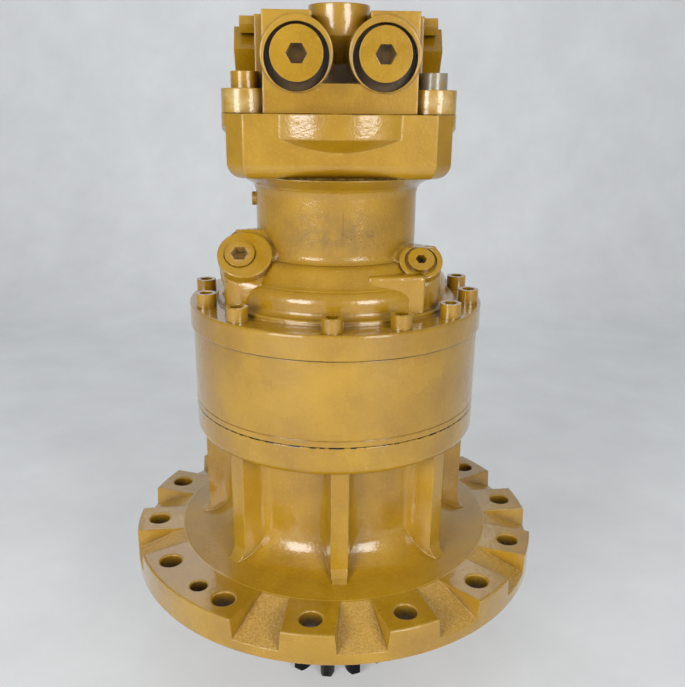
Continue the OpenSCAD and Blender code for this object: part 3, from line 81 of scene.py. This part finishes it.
# Studio
# A pale floor under the pinion runs up into a pale wall behind. Two soft windows in front, a wide
# soft ceiling and a dim doorway behind light the drive, as in the workshop of the photograph.
FLOOR_Z = cad_box[0][2]
FLOOR_SIZE = 8
FLOOR_LIFT = 0.3
SMUDGE_SIZE = 0.2
WALL_Y = 2.2
WALL_HEIGHT = 4
COVE = 0.6
AIM_HEIGHT = 0.3
SKY_LIGHT = 0.26
SKY_LIFT = 0.5


def linear(hex_colour):
    """Linear RGBA of an sRGB hex colour."""
    values = [int(hex_colour[i:i + 2], 16) / 255 for i in (1, 3, 5)]
    return [v / 12.92 if v <= 0.04045 else ((v + 0.055) / 1.055) ** 2.4 for v in values] + [1]


def add(material, kind, *values, take=0, **settings):
    """Adds a node and returns the output that take names. Values go to its sockets in order, and
    settings to its properties, or to sockets by name with _ for a blank. A socket is given a
    number, a vector, a hex colour or another node's output."""
    node = material.node_tree.nodes.new("ShaderNode" + kind)
    for key, value in (*enumerate(values), *settings.items()):
        if isinstance(key, int):
            socket = node.inputs[key]
        elif hasattr(node, key):
            setattr(node, key, value)
            continue
        else:
            socket = next(s for s in node.inputs if key in (s.identifier, s.name.replace(" ", "_")))
        if isinstance(value, bpy.types.NodeSocket):
            material.node_tree.links.new(value, socket)
        else:
            socket.default_value = linear(value) if isinstance(value, str) else value
    return node.outputs[take] if node.outputs else node


def new_material(name):
    """An empty material, and the place on its piece that its patterns read."""
    material = bpy.data.materials.new(name)
    material.use_nodes = True
    material.node_tree.nodes.clear()
    return material, add(material, "TexCoord", take="Object")


def seen_by(material, *rays):
    """1 for the kinds of ray that are named, else 0."""
    seen = 0
    for ray in rays:
        seen = add(material, "Math", add(material, "LightPath", take=ray), seen, operation="MAXIMUM")
    return seen


# Matt floor paint: pale and even with faint smudges, lifted a little where it is only looked at
floor_paint, place = new_material("matt_floor_paint")
smudges = add(floor_paint, "TexNoise", place, Scale=1 / SMUDGE_SIZE, Detail=6, Roughness=0.6)
pale = add(floor_paint, "Mix", smudges, data_type="RGBA", A_Color="#C4C6C7", B_Color="#DCDEDF", take=2)
seen = seen_by(floor_paint, "Is Camera Ray", "Is Transmission Ray", "Is Glossy Ray")
lift = add(floor_paint, "Math", seen, FLOOR_LIFT, operation="MULTIPLY")
add(floor_paint, "OutputMaterial", add(floor_paint, "BsdfPrincipled", Base_Color=pale, Roughness=0.7,
                                       Emission_Color=pale, Emission_Strength=lift))

room = bmesh.new()
bmesh.ops.create_grid(room, x_segments=1, y_segments=1, size=FLOOR_SIZE / 2,
                      matrix=Matrix.Translation((0, WALL_Y - FLOOR_SIZE / 2, FLOOR_Z)))
back_edge = [e for e in room.edges if all(v.co.y > WALL_Y - 0.01 for v in e.verts)]
raised = bmesh.ops.extrude_edge_only(room, edges=back_edge)["geom"]
bmesh.ops.translate(room, verts=[v for v in raised if isinstance(v, bmesh.types.BMVert)],
                    vec=(0, 0, WALL_HEIGHT))
bmesh.ops.bevel(room, geom=back_edge, offset=COVE, segments=16, profile=0.5, affect="EDGES", material=-1)
room_mesh = bpy.data.meshes.new("room")
room.to_mesh(room_mesh)
room.free()
for face in room_mesh.polygons:
    face.use_smooth = True
backdrop = bpy.data.objects.new("room", room_mesh)
scene.collection.objects.link(backdrop)
room_mesh.materials.append(floor_paint)


def soft_light(name, azimuth, distance, height, size, watts):
    """A rectangular light that faces the drive's middle."""
    light = bpy.data.lights.new(name, "AREA")
    light.shape = "RECTANGLE"
    light.size, light.size_y = size
    light.energy = watts
    lamp = bpy.data.objects.new(name, light)
    lamp.visible_camera = False
    scene.collection.objects.link(lamp)
    a = math.radians(azimuth)
    lamp.location = (distance * math.sin(a), -distance * math.cos(a), height)
    aim = Vector((0, 0, AIM_HEIGHT)) - lamp.location
    lamp.rotation_euler = aim.to_track_quat("-Z", "Y").to_euler()


soft_light("left_window", azimuth=-37, distance=2.6, height=1.02, size=(1.1, 1.15), watts=46)
soft_light("right_window", azimuth=29, distance=2.6, height=1.02, size=(0.9, 1.15), watts=36)
soft_light("ceiling", azimuth=0, distance=0.6, height=2.9, size=(3.2, 3.2), watts=8)
soft_light("door_behind", azimuth=180, distance=2, height=1.6, size=(1.6, 1.6), watts=7)

world = bpy.data.worlds.new("world")
scene.world = world
world.use_nodes = True
background = world.node_tree.nodes["Background"]
background.inputs["Color"].default_value = linear("#E2E6EA")
# The sky that lights the drive is dimmer than the one that is seen
sky = add(world, "Math", seen_by(world, "Is Camera Ray", "Is Transmission Ray"), SKY_LIFT, SKY_LIGHT,
          operation="MULTIPLY_ADD")
world.node_tree.links.new(sky, background.inputs["Strength"])


# Hub casting
# The hub is a grey iron sand casting with a turned rim and milled bolt pads. It is sprayed with
# one thick coat of glossy machine enamel, which keeps the sand's grain on the neck, the ribs and
# the notch floors, lies smooth on the turned faces and wears on edges. The shade of its corners
# is painted darker into the coat.
MM = 0.001
PAINT_DARK = "#9D7305"
PAINT_LIGHT = "#B3880D"
# The pooled paint and grime colours also serve as painted shade in corners and the deepest recesses
POOLED_PAINT_AND_SHADE = "#805800"
# The thin paint colour also paints the highlight on the pad line
THIN_PAINT_AND_HIGHLIGHT = "#C49B38"
GRIME_AND_SHADE = "#1E1508"
NOTCH_DUST = "#D8AE62"
# The hole oil colour is also painted shade on the shut-in bolt hole walls
HOLE_OIL_AND_SHADE = "#3E2606"
# The coat's relief in parts of RELIEF_MM: the sand's grain, the orange peel and the slow swell.
# Grain and peel are drawn some times coarser than they are, so that they show.
RELIEF_MM = 0.2
SAND_RELIEF = 2.2
PEEL_RELIEF = 0.7
SWELL_RELIEF = 2
LEVELLING = 0.3
# Heights above the flange's lower face and radii from the drive's axis, in mm
FLANGE_TOP = 39
RIM_FOOT = 178
HUB_TOP = 214
OUTSIDE = 300


def zone(material, place, heights_mm, radii_mm):
    """1 between two heights and between two distances from the drive's axis, else 0."""
    height = add(material, "SeparateXYZ", place, take="Z")
    level = add(material, "VectorMath", place, (1, 1, 0), operation="MULTIPLY")
    reach = add(material, "VectorMath", level, operation="LENGTH", take="Value")
    within = [add(material, "Math", value, (low + high) / 2 * MM, (high - low) / 2 * MM, operation="COMPARE")
              for value, (low, high) in ((height, heights_mm), (reach, radii_mm))]
    return add(material, "Math", *within, operation="MULTIPLY")


def spot(material, place, centre_mm, size_mm, soft=0.6):
    """1 inside an ellipsoid, fading to 0 at its edge."""
    shifted = add(material, "VectorMath", place, [c * MM for c in centre_mm], operation="SUBTRACT")
    scaled = add(material, "VectorMath", shifted, [s * MM for s in size_mm], operation="DIVIDE")
    reach = add(material, "VectorMath", scaled, operation="LENGTH", take="Value")
    return add(material, "MapRange", reach, From_Min=1, From_Max=1 - soft)


def mottle(material, place, size_mm, detail=3, span=(0, 1)):
    """Cloudy patches of a given size, with the values in span stretched over 0 to 1."""
    cloud = add(material, "TexNoise", place, Scale=1 / (size_mm * MM), Detail=detail, Roughness=0.6)
    return add(material, "MapRange", cloud, From_Min=span[0], From_Max=span[1])


def spray(material, place, *marks, cast, edge_mm, coat_weight=0.9, coat_roughness=0.07):
    """Machine enamel over iron. cast is the share of sand grain under it, a number or an output,
    and edge_mm the width of its rubbed edges. A mark, such as dirt, lies over the coat: it is a
    colour, and the shares whose product says how far it covers."""
    patches = mottle(material, place, size_mm=70, detail=5, span=(0.35, 0.68))
    speckle = mottle(material, place, size_mm=3.2, span=(0.52, 0.74))
    # Painted shade: the coat is darker in corners and near black in the deepest ones, after their ambient
    # occlusion
    open_sky = add(material, "AmbientOcclusion", Distance=22 * MM, samples=8, take="AO")
    corner_shade = add(material, "MapRange", open_sky, From_Min=0.3, From_Max=0.85, To_Min=0.85, To_Max=0)
    deep = add(material, "MapRange", open_sky, From_Min=0.08, From_Max=0.28, To_Min=0.9, To_Max=0)
    # On edges the coat is thin and rubbed: there the rounded normal turns away from the true one
    rounded = add(material, "Bevel", Radius=edge_mm * MM, samples=6)
    turn = add(material, "VectorMath", rounded, add(material, "NewGeometry", take="Normal"),
               operation="DOT_PRODUCT", take="Value")
    edge = add(material, "MapRange", turn, From_Min=0.992, From_Max=0.9)
    rubbed = mottle(material, place, size_mm=9, detail=4, span=(0.4, 0.62))
    coat = PAINT_DARK
    for colour, *shares in ((PAINT_LIGHT, patches), (THIN_PAINT_AND_HIGHLIGHT, speckle, 0.35), (POOLED_PAINT_AND_SHADE, corner_shade),
                            (GRIME_AND_SHADE, deep), (THIN_PAINT_AND_HIGHLIGHT, edge, rubbed, 0.8), *marks):
        share = shares[0]
        for other in shares[1:]:
            share = add(material, "Math", share, other, operation="MULTIPLY")
        coat = add(material, "Mix", share, data_type="RGBA", A_Color=coat, B_Color=colour, take=2)
    # Sand grain shows through the coat, and the coat itself dried with an orange peel
    grains = mottle(material, place, size_mm=2.4, detail=4)
    sand = add(material, "Math", grains, SAND_RELIEF, operation="MULTIPLY")
    sand = add(material, "Math", sand, cast, operation="MULTIPLY")
    peel = mottle(material, place, size_mm=6, detail=2)
    peel = add(material, "Math", peel, PEEL_RELIEF, operation="MULTIPLY")
    skin = add(material, "Math", patches, SWELL_RELIEF, peel, operation="MULTIPLY_ADD")
    # The coat's glossy face levels over the grain and keeps little of it
    face = add(material, "Math", sand, LEVELLING, skin, operation="MULTIPLY_ADD")
    under, over = (add(material, "Bump", Distance=RELIEF_MM * MM, Height=height, Normal=rounded)
                   for height in (add(material, "Math", sand, skin), face))
    # Raw grain and the lighter patches are a little duller
    dull = add(material, "Math", cast, 0.14, 0.2, operation="MULTIPLY_ADD")
    dull = add(material, "Math", patches, 0.1, dull, operation="MULTIPLY_ADD")
    add(material, "OutputMaterial", add(
        material, "BsdfPrincipled", Base_Color=coat, Roughness=dull, Normal=under, Coat_Weight=coat_weight,
        Coat_Roughness=coat_roughness, Coat_IOR=1.5, Coat_Normal=over))


def finish(material, *names):
    """Gives carried-over pieces their material."""
    for name in names:
        for slot in nodes[name].material_slots:
            slot.material = material


# Enamel on sand cast and turned iron: wet gloss that breaks up over the grain and lies calm on
# the machined faces
hub_enamel, place = new_material("enamel_on_hub_casting")
turned_rim = zone(hub_enamel, place, (RIM_FOOT, HUB_TOP + 1), (140, OUTSIDE))
turned_edge = zone(hub_enamel, place, (-1, FLANGE_TOP - 1), (262, OUTSIDE))
milled_pads = zone(hub_enamel, place, (FLANGE_TOP - 0.4, FLANGE_TOP + 0.4), (200, OUTSIDE))
machined = add(hub_enamel, "Math", add(hub_enamel, "Math", turned_rim, turned_edge), milled_pads)
machined = add(hub_enamel, "Math", machined, 1, operation="MINIMUM")
raw_iron = add(hub_enamel, "Math", 1, machined, operation="SUBTRACT")
# Notch floors look up between the bolt pads and are rougher, paler and dusty
upward = add(hub_enamel, "SeparateXYZ", add(hub_enamel, "NewGeometry", take="Normal"), take="Z")
notch = add(hub_enamel, "Math", zone(hub_enamel, place, (9, FLANGE_TOP - 0.6), (203, OUTSIDE)),
            add(hub_enamel, "Math", upward, 0.6, operation="GREATER_THAN"), operation="MULTIPLY")
dust = mottle(hub_enamel, place, size_mm=2.6, detail=4, span=(0.3, 0.75))
# A turned line runs round the flange's top where the bolt pads begin, painted lighter as its highlight
pad_line = zone(hub_enamel, place, (FLANGE_TOP - 1, FLANGE_TOP + 1), (203.2, 204.6))
# The bolt holes' upright walls are brown with oil and old paint, and painted darker where shut in, as their
# shade
upright = add(hub_enamel, "Math", add(hub_enamel, "Math", upward, operation="ABSOLUTE"), 0.3,
              operation="LESS_THAN")
bolt_circle = zone(hub_enamel, place, (-2, FLANGE_TOP - 0.3), (221, 250.5))
open_sky = add(hub_enamel, "AmbientOcclusion", Distance=26 * MM, samples=8, take="AO")
shut_in = add(hub_enamel, "MapRange", open_sky, From_Min=0.72, From_Max=0.4)
# The joint to the ring gear opened the paint all round in a ragged dark line
joint = zone(hub_enamel, place, (HUB_TOP - 0.8, HUB_TOP + 1), (170, OUTSIDE))
ragged = mottle(hub_enamel, place, size_mm=7, detail=5, span=(0.47, 0.53))
spray(hub_enamel, place,
      (NOTCH_DUST, notch, dust, 0.8),
      (THIN_PAINT_AND_HIGHLIGHT, pad_line, 0.7),
      (HOLE_OIL_AND_SHADE, upright, bolt_circle, shut_in, 0.85),
      (GRIME_AND_SHADE, joint, ragged),
      (GRIME_AND_SHADE, spot(hub_enamel, place, (43, -222, 41), (2.2, 1.6, 3))),
      (GRIME_AND_SHADE, spot(hub_enamel, place, (150, -150, 41), (2.4, 2, 3))),
      cast=add(hub_enamel, "Math", notch, 1.6, raw_iron, operation="MULTIPLY_ADD"), edge_mm=2.2)
finish(hub_enamel, "hub_housing")


# Ring gear
# A forged steel ring turned on its outside and clamped between hub and casing. The lathe left a
# fine groove above the lower joint, and a hand smeared the paint while it was wet.
SEAM_GRIME = "#3A2706"
RING_TOP = 314

# Enamel on turned steel: smooth, with soft clouds and clear reflections
ring_enamel, place = new_material("enamel_on_turned_ring")
groove = zone(ring_enamel, place, (221, 221.9), (170, OUTSIDE))
smear = spot(ring_enamel, place, (-75, -160, 283), (26, 30, 9), soft=0.9)
smear_streaks = mottle(ring_enamel, place, size_mm=9, detail=4, span=(0.4, 0.7))
upper_joint = zone(ring_enamel, place, (RING_TOP - 0.8, RING_TOP + 1), (170, OUTSIDE))
upper_gaps = mottle(ring_enamel, place, size_mm=40, detail=4, span=(0.3, 0.5))
lower_joint = zone(ring_enamel, place, (HUB_TOP - 1, HUB_TOP + 1.2), (170, OUTSIDE))
lower_gaps = mottle(ring_enamel, place, size_mm=7, detail=5, span=(0.45, 0.52))
spray(ring_enamel, place,
      (POOLED_PAINT_AND_SHADE, groove, 0.5),
      (POOLED_PAINT_AND_SHADE, smear, smear_streaks, 0.35),
      (SEAM_GRIME, upper_joint, upper_gaps),
      (GRIME_AND_SHADE, lower_joint, lower_gaps),
      cast=0.12, edge_mm=1, coat_roughness=0.08)
finish(ring_enamel, "ring_gear")


# Motor casing
# A sand casting whose cover flange is turned. The barrel keeps the rough grain, a parting line
# down its front and a smudge of old oil and dust low on it, where a hand or a sling rubbed.
OIL_AND_DUST = "#5E4A20"
RUBBED_DIRT = "#2E2310"
CHIPPED_METAL = "#C9CACB"
COVER_TOP = 343
BARREL_FOOT = 396
BARREL_TOP = 480

# Enamel on rough sand cast iron: gloss broken by coarse grain, most of all on the barrel
casing_enamel, place = new_material("enamel_on_motor_casing")
turned_cover = zone(casing_enamel, place, (RING_TOP - 1, COVER_TOP + 0.6), (146, OUTSIDE))
barrel = zone(casing_enamel, place, (BARREL_FOOT, BARREL_TOP), (0, 112))
raw_iron = add(casing_enamel, "Math", 1, turned_cover, operation="SUBTRACT")
raw_iron = add(casing_enamel, "Math", raw_iron, 0.7, operation="MULTIPLY")
oily = spot(casing_enamel, place, (-8, -96, 434), (84, 80, 30), soft=0.95)
oil_clouds = mottle(casing_enamel, place, size_mm=14, detail=8, span=(0.36, 0.66))
rubbed_band = spot(casing_enamel, place, (10, -96, 428), (70, 60, 16), soft=0.9)
rubbed_bits = mottle(casing_enamel, place, size_mm=3, span=(0.56, 0.66))
parting_line = spot(casing_enamel, place, (4, -96, 440), (1.1, 40, 26), soft=0.5)
joint = zone(casing_enamel, place, (RING_TOP - 0.5, RING_TOP + 1.2), (170, OUTSIDE))
joint_gaps = mottle(casing_enamel, place, size_mm=40, detail=4, span=(0.3, 0.5))
chip = spot(casing_enamel, place, (39, -158, 343), (2.6, 1.6, 3), soft=0.4)
spray(casing_enamel, place,
      (OIL_AND_DUST, oily, oil_clouds, 0.75),
      (RUBBED_DIRT, rubbed_band, rubbed_bits, 0.5),
      (POOLED_PAINT_AND_SHADE, parting_line, 0.6),
      (SEAM_GRIME, joint, joint_gaps),
      (CHIPPED_METAL, chip),
      cast=add(casing_enamel, "Math", barrel, 1.4, raw_iron, operation="MULTIPLY_ADD"), edge_mm=3.5)
finish(casing_enamel, "motor_housing")


# Cast blends of the motor casing
# The moulder filled the corners between barrel, bead and lugs by hand: one soft slope leads from
# the barrel's foot to the bead, and each lug grows out of it in a broad web.
VOXEL_MM = 1.4
WEB_SMOOTHING = 26
ARM_SMOOTHING = 20
LUG_TILT = math.radians(45)
LUG_BACK_MM = 12
ARC_STEP = 4
# Radius and height of the slope's face, down from the barrel, then of its back inside the casting
SLOPE = ((99.2, 400.0), (102, 399.2), (104.5, 398.9), (107.4, 398.2), (110.4, 396.0), (113.6, 392.2),
         (117, 387.2), (120, 382.8), (123, 379.2), (126.5, 376.9), (130, 375.0),
         (126, 372), (112, 380), (104, 392))
ARM_CORNERS = ((33, -115.6), (95.6, -111.8), (95.6, -58), (14, -90))
ARM_FOOT = 345
ARM_TOP = 390.4


def cast_piece(name, shape, smoothing=0):
    """A piece of the casting under its coat. Smoothing melts its edges as a sand mould does."""
    mesh = bpy.data.meshes.new(name)
    shape.to_mesh(mesh)
    shape.free()
    piece = bpy.data.objects.new(name, mesh)
    scene.collection.objects.link(piece)
    if smoothing:
        remesh = piece.modifiers.new("remesh", "REMESH")
        remesh.mode = "VOXEL"
        remesh.voxel_size = VOXEL_MM * MM
        soften = piece.modifiers.new("soften", "SMOOTH")
        soften.factor = 0.5
        soften.iterations = smoothing
        scene.view_layers[0].update()
        soft = bpy.data.meshes.new_from_object(piece.evaluated_get(bpy.context.evaluated_depsgraph_get()))
        piece.modifiers.clear()
        piece.data = soft
        soft.name = name
    for face in piece.data.polygons:
        face.use_smooth = True
    piece.data.materials.clear()
    piece.data.materials.append(casing_enamel)
    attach(piece, "housing")


def web(name, face_mm, radius_mm, *arcs):
    """A broad web from behind a lug's face down to the bead. An arc is a radius, a height, and
    its first and last azimuth."""
    shape = bmesh.new()
    boss = Matrix.Translation(Vector(face_mm) * MM) @ Matrix.Rotation(LUG_TILT, 4, "X")
    bmesh.ops.create_circle(shape, segments=36, radius=radius_mm * MM,
                            matrix=boss @ Matrix.Translation((0, 0, -LUG_BACK_MM * MM)))
    for radius, height, first, last in arcs:
        a = math.radians(first)
        start = shape.verts.new(Vector((radius * math.cos(a), radius * math.sin(a), height)) * MM)
        bmesh.ops.spin(shape, geom=[start], cent=(0, 0, 0), axis=(0, 0, 1),
                       angle=math.radians(last - first), steps=(last - first) // ARC_STEP)
    bmesh.ops.convex_hull(shape, input=shape.verts[:])
    bmesh.ops.delete(shape, geom=[v for v in shape.verts if not v.link_faces], context="VERTS")
    cast_piece(name, shape, WEB_SMOOTHING)


slope = bmesh.new()
outline = [slope.verts.new((r * MM, 0, z * MM)) for r, z in SLOPE]
rim = [slope.edges.new(pair) for pair in zip(outline, outline[1:] + outline[:1])]
bmesh.ops.spin(slope, geom=outline + rim, cent=(0, 0, 0), axis=(0, 0, 1), angle=2 * math.pi, steps=180,
               use_merge=True)
bmesh.ops.remove_doubles(slope, verts=slope.verts, dist=0.01 * MM)
bmesh.ops.recalc_face_normals(slope, faces=slope.faces)
cast_piece("casing_slope", slope)

web("fill_lug_web", (-105.9, -75.2, 408), 30.6,
    (128, 376, -160, -132), (138.5, 362, -162, -138), (139, 346, -160, -140))
web("vent_lug_web", (93.4, -84.1, 403), 24.6,
    (126, 376, -56, -24), (138, 362, -50, -26), (138, 346, -50, -30))

# The low arm beside the vent lug
arm = bmesh.new()
foot = arm.faces.new([arm.verts.new((x * MM, y * MM, ARM_FOOT * MM)) for x, y in ARM_CORNERS])
raised = bmesh.ops.extrude_face_region(arm, geom=[foot])["geom"]
bmesh.ops.translate(arm, verts=[v for v in raised if isinstance(v, bmesh.types.BMVert)],
                    vec=(0, 0, (ARM_TOP - ARM_FOOT) * MM))
bmesh.ops.recalc_face_normals(arm, faces=arm.faces)
cast_piece("vent_arm_web", arm, ARM_SMOOTHING)


# Valve block
# A smaller sand casting with milled front, side and top faces under the same coat. Its front
# corner lobes are painted pale as their reflections, and shade is painted dark between the plug
# bosses and round the plugs.
LOBE_REFLECTION = "#D9C391"
HOLLOW_SHADE = "#4A2C05"
RECESS_SHADE = "#38260A"
BLOCK_FOOT = 560
PLUG_SIDES = (-45, 45)
RECESS_HEIGHT = 615
RECESS_RADIUS = 33.4
FRONT_Y = -80

# Enamel on sand cast iron: the casing's gloss over a finer grain
valve_enamel, place = new_material("enamel_on_valve_block")
# Painted reflections: pale patches on the front corner lobes
left_lobe, right_lobe = (spot(valve_enamel, place, (x, -92, 573), (26, 16, 16), soft=0.7) for x in (-104, 106))
lobes = add(valve_enamel, "Math", left_lobe, right_lobe)
reflection_patches = mottle(valve_enamel, place, size_mm=16, span=(0.3, 0.62))
# Painted shade between the plug bosses
hollow = spot(valve_enamel, place, (0, -92, 606), (30, 24, 40), soft=0.75)
# The recesses are what lies near either plug's axis on the front, where their shade is painted dark
reaches = []
for x in PLUG_SIDES:
    offset = add(valve_enamel, "VectorMath", place, (x * MM, 0, RECESS_HEIGHT * MM), operation="SUBTRACT")
    offset = add(valve_enamel, "VectorMath", offset, (1, 0, 1), operation="MULTIPLY")
    reaches.append(add(valve_enamel, "VectorMath", offset, operation="LENGTH", take="Value"))
nearer = add(valve_enamel, "Math", *reaches, operation="MINIMUM")
recess = add(valve_enamel, "Math", nearer, RECESS_RADIUS * MM, operation="LESS_THAN")
front = add(valve_enamel, "Math", add(valve_enamel, "SeparateXYZ", place, take="Y"), FRONT_Y * MM,
            operation="LESS_THAN")
joint = zone(valve_enamel, place, (BLOCK_FOOT - 0.5, BLOCK_FOOT + 0.7), (80, OUTSIDE))
joint_gaps = mottle(valve_enamel, place, size_mm=40, detail=4, span=(0.3, 0.5))
spray(valve_enamel, place,
      (LOBE_REFLECTION, lobes, reflection_patches, 0.8),
      (HOLLOW_SHADE, hollow, 0.75),
      (RECESS_SHADE, front, recess, 0.8),
      (SEAM_GRIME, joint, joint_gaps),
      cast=0.6, edge_mm=3)
finish(valve_enamel, "valve_block")


# Make-up plugs, filler plug and vent plug
# Turned steel plugs with hex sockets, painted in place. The make-up plugs' sockets are painted
# dark as their shade, and the filler plug's socket has worn round and brown from every oil change.
WORN_BROWN = "#B9945A"
SOCKET_SHADE = "#3E2C0C"

# Enamel on turned steel: smooth gloss, worn round the filler plug's socket, with painted shade in the other
# sockets
plug_enamel, place = new_material("enamel_on_plugs")
filler = spot(plug_enamel, place, (-111.4, -75.2, 408), (15.5, 15.5, 15.5), soft=0.35)
filler_wear = mottle(plug_enamel, place, size_mm=3, detail=4, span=(0.38, 0.55))
sockets = [spot(plug_enamel, place, (x, -102, 618), (12.5, 9, 12.5), soft=0.35) for x in PLUG_SIDES]
spray(plug_enamel, place,
      (WORN_BROWN, filler, filler_wear, 0.6),
      (SOCKET_SHADE, add(plug_enamel, "Math", *sockets, operation="MAXIMUM"), 0.7),
      cast=0.15, edge_mm=0.9)
finish(plug_enamel, "makeup_plugs", "fill_plug", "vent_plug")


# Cover screws, relief valve caps and gauge plugs
# Steel socket screws and hexagons, tightened before the drive was sprayed, so that they lie under
# the same coat. It is broken on their corners, where keys and spanners have gripped since.
# Enamel on forged and turned steel: smooth gloss with pale worn corners
screw_enamel, place = new_material("enamel_on_screws")
spray(screw_enamel, place, cast=0.2, edge_mm=0.8, coat_roughness=0.08)
finish(screw_enamel, "cover_bolts", "relief_valves", "gauge_plugs")


# Valve block screws
# Four long steel socket screws hold the block on the casing. Three are sprayed in place, and the
# right front one was fitted afterwards and is bare, its zinc gone grey.
DULL_ZINC = "#8C8674"

# Thin enamel and aged zinc plate on steel: a soft sheen without depth
block_screw_enamel, place = new_material("enamel_and_zinc_on_screws")
bare_screw = spot(block_screw_enamel, place, (100, -75, 590), (24, 24, 30), soft=0.1)
bare_patches = mottle(block_screw_enamel, place, size_mm=5, detail=4, span=(0.3, 0.5))
spray(block_screw_enamel, place, (DULL_ZINC, bare_screw, bare_patches),
      cast=0.2, edge_mm=0.8, coat_weight=0.5, coat_roughness=0.15)
finish(block_screw_enamel, "valve_block_bolts")


# Output pinion, gears, bearings and steel parts of the motor
# The pinion shaft is one forging of case-hardened chromium steel, left unpainted, and the gears
# are cut from the same steel. Bearings and planet pins are ground, the motor's parts are turned.
STAIN_MM = 41.7


def steel(name, dark, bright, roughness, mark_mm, mark_depth_mm):
    """Bare metal with stains of handling and oil. mark_mm is the spacing of the marks that its
    making left, drawn coarser than they are so that they show."""
    material, place = new_material(name)
    marks = add(material, "TexNoise", place, Scale=1 / (mark_mm * MM), Detail=3, Roughness=0.65)
    stains = add(material, "TexNoise", place, Scale=1 / (STAIN_MM * MM), Detail=5, Roughness=0.6)
    share = add(material, "MapRange", stains, From_Min=0.35, From_Max=0.65)
    colour = add(material, "Mix", share, data_type="RGBA", A_Color=dark, B_Color=bright, take=2)
    gloss = add(material, "MapRange", stains, To_Min=roughness - 0.08, To_Max=roughness + 0.12)
    relief = add(material, "Bump", Distance=mark_depth_mm * MM, Height=marks)
    add(material, "OutputMaterial", add(material, "BsdfPrincipled", Metallic=1, Base_Color=colour,
                                        Roughness=gloss, Normal=relief))
    return material


# Hardened and oiled: nearly black, with a soft sheen
oiled_steel = steel("case_hardened_steel", "#1E1D1D", "#3A3938", 0.42, 1.6, 0.05)
# Ground and honed rolling surfaces: bright and almost mirror smooth
bearing_steel = steel("ground_bearing_steel", "#8E9092", "#A7A9AB", 0.16, 0.8, 0.004)
# Turned and hardened, then only smoothed: satin
turned_steel = steel("turned_alloy_steel", "#6E7072", "#8D8F91", 0.32, 1.2, 0.02)
finish(oiled_steel, "pinion_shaft", "planet_2_a", "planet_2_b", "planet_2_c", "planet_1_a",
       "planet_1_b", "planet_1_c", "sun_gear_1", "sun_gear_2")
finish(bearing_steel, "output_bearing_cups", "output_bearing_cones", "lower_bearing_rollers",
       "upper_bearing_rollers", "planet_1_needles", "planet_2_needles", "planet_1_pins",
       "planet_2_pins", "shaft_bearing_cup", "shaft_bearing_cone", "shaft_bearing_rollers",
       "end_bearing")
finish(turned_steel, "bearing_spacer", "bearing_lock_nut", "motor_shaft", "swash_plate",
       "pistons", "retainer_guide", "shoe_retainer", "makeup_poppet_left",
       "makeup_poppet_right", "relief_poppet_left", "relief_poppet_right")


# Seal carrier, planet carriers, cylinder block and brake piston
# Grey and nodular iron castings machined all over and wetted by the gear and motor oil, each
# seated, turning or sliding in a bore of the housings.
# Machined cast iron: darker than steel, with fine open pores
machined_iron = steel("machined_nodular_iron", "#4C4B4A", "#686766", 0.4, 0.9, 0.03)
finish(machined_iron, "seal_carrier", "carrier_1", "carrier_2", "cylinder_block", "brake_piston")


# Springs, snap ring and separator plates
# Oil-hardened spring steel, wound from wire or stamped from strip. The brake springs press the
# piston on the plates, and the snap ring locks the seal carrier in the hub.
# Blued by its heat treatment: dark, with a cold blue sheen
blued_steel = steel("blued_spring_steel", "#23262B", "#3B4048", 0.3, 1.0, 0.01)
finish(blued_steel, "brake_springs", "block_spring", "makeup_spring_left", "makeup_spring_right",
       "seal_carrier_ring", "separator_plates")


# Valve plate and slippers
# The running faces of the motor, of leaded bronze. The valve plate lies against the cylinder
# block, and a slipper sits on each piston's ball and glides on the swash plate.
# Lapped bronze: warm and bright, stained brown by hot oil
bronze = steel("lapped_leaded_bronze", "#8A6230", "#B48848", 0.28, 1.0, 0.01)
finish(bronze, "valve_plate", "piston_shoes")


# Brake linings
# Friction facings of resin-bound paper, pressed hot on steel cores, which run wet between the
# separator plates.
# Paper friction lining: matt, brown and fibrous, its fibres drawn coarser than they are
lining, place = new_material("paper_friction_lining")
fibres = add(lining, "TexNoise", place, Scale=1 / (1.2 * MM), Detail=6, Roughness=0.75)
colour = add(lining, "Mix", fibres, data_type="RGBA", A_Color="#4A3524", B_Color="#7A5C40", take=2)
relief = add(lining, "Bump", Distance=0.08 * MM, Height=fibres)
add(lining, "OutputMaterial", add(lining, "BsdfPrincipled", Base_Color=colour, Roughness=0.85,
                                  Normal=relief))
finish(lining, "friction_plates")


# Seals
# O-rings in the joints of the housings and lip seals on the two shafts, moulded from nitrile
# rubber and laid or pressed in their grooves with grease.
BLOOM_MM = 16.7

# Nitrile rubber: smooth, black and slightly greasy, with a faint grey bloom
rubber, place = new_material("nitrile_rubber")
bloom = add(rubber, "TexNoise", place, Scale=1 / (BLOOM_MM * MM), Detail=4, Roughness=0.6)
colour = add(rubber, "Mix", bloom, data_type="RGBA", A_Color="#17171A", B_Color="#2A2A2C", take=2)
relief = add(rubber, "Bump", Distance=0.02 * MM, Height=bloom)
add(rubber, "OutputMaterial", add(rubber, "BsdfPrincipled", Base_Color=colour, Roughness=0.5,
                                  Normal=relief))
finish(rubber, "static_o_rings", "output_oil_seal", "shaft_oil_seal")
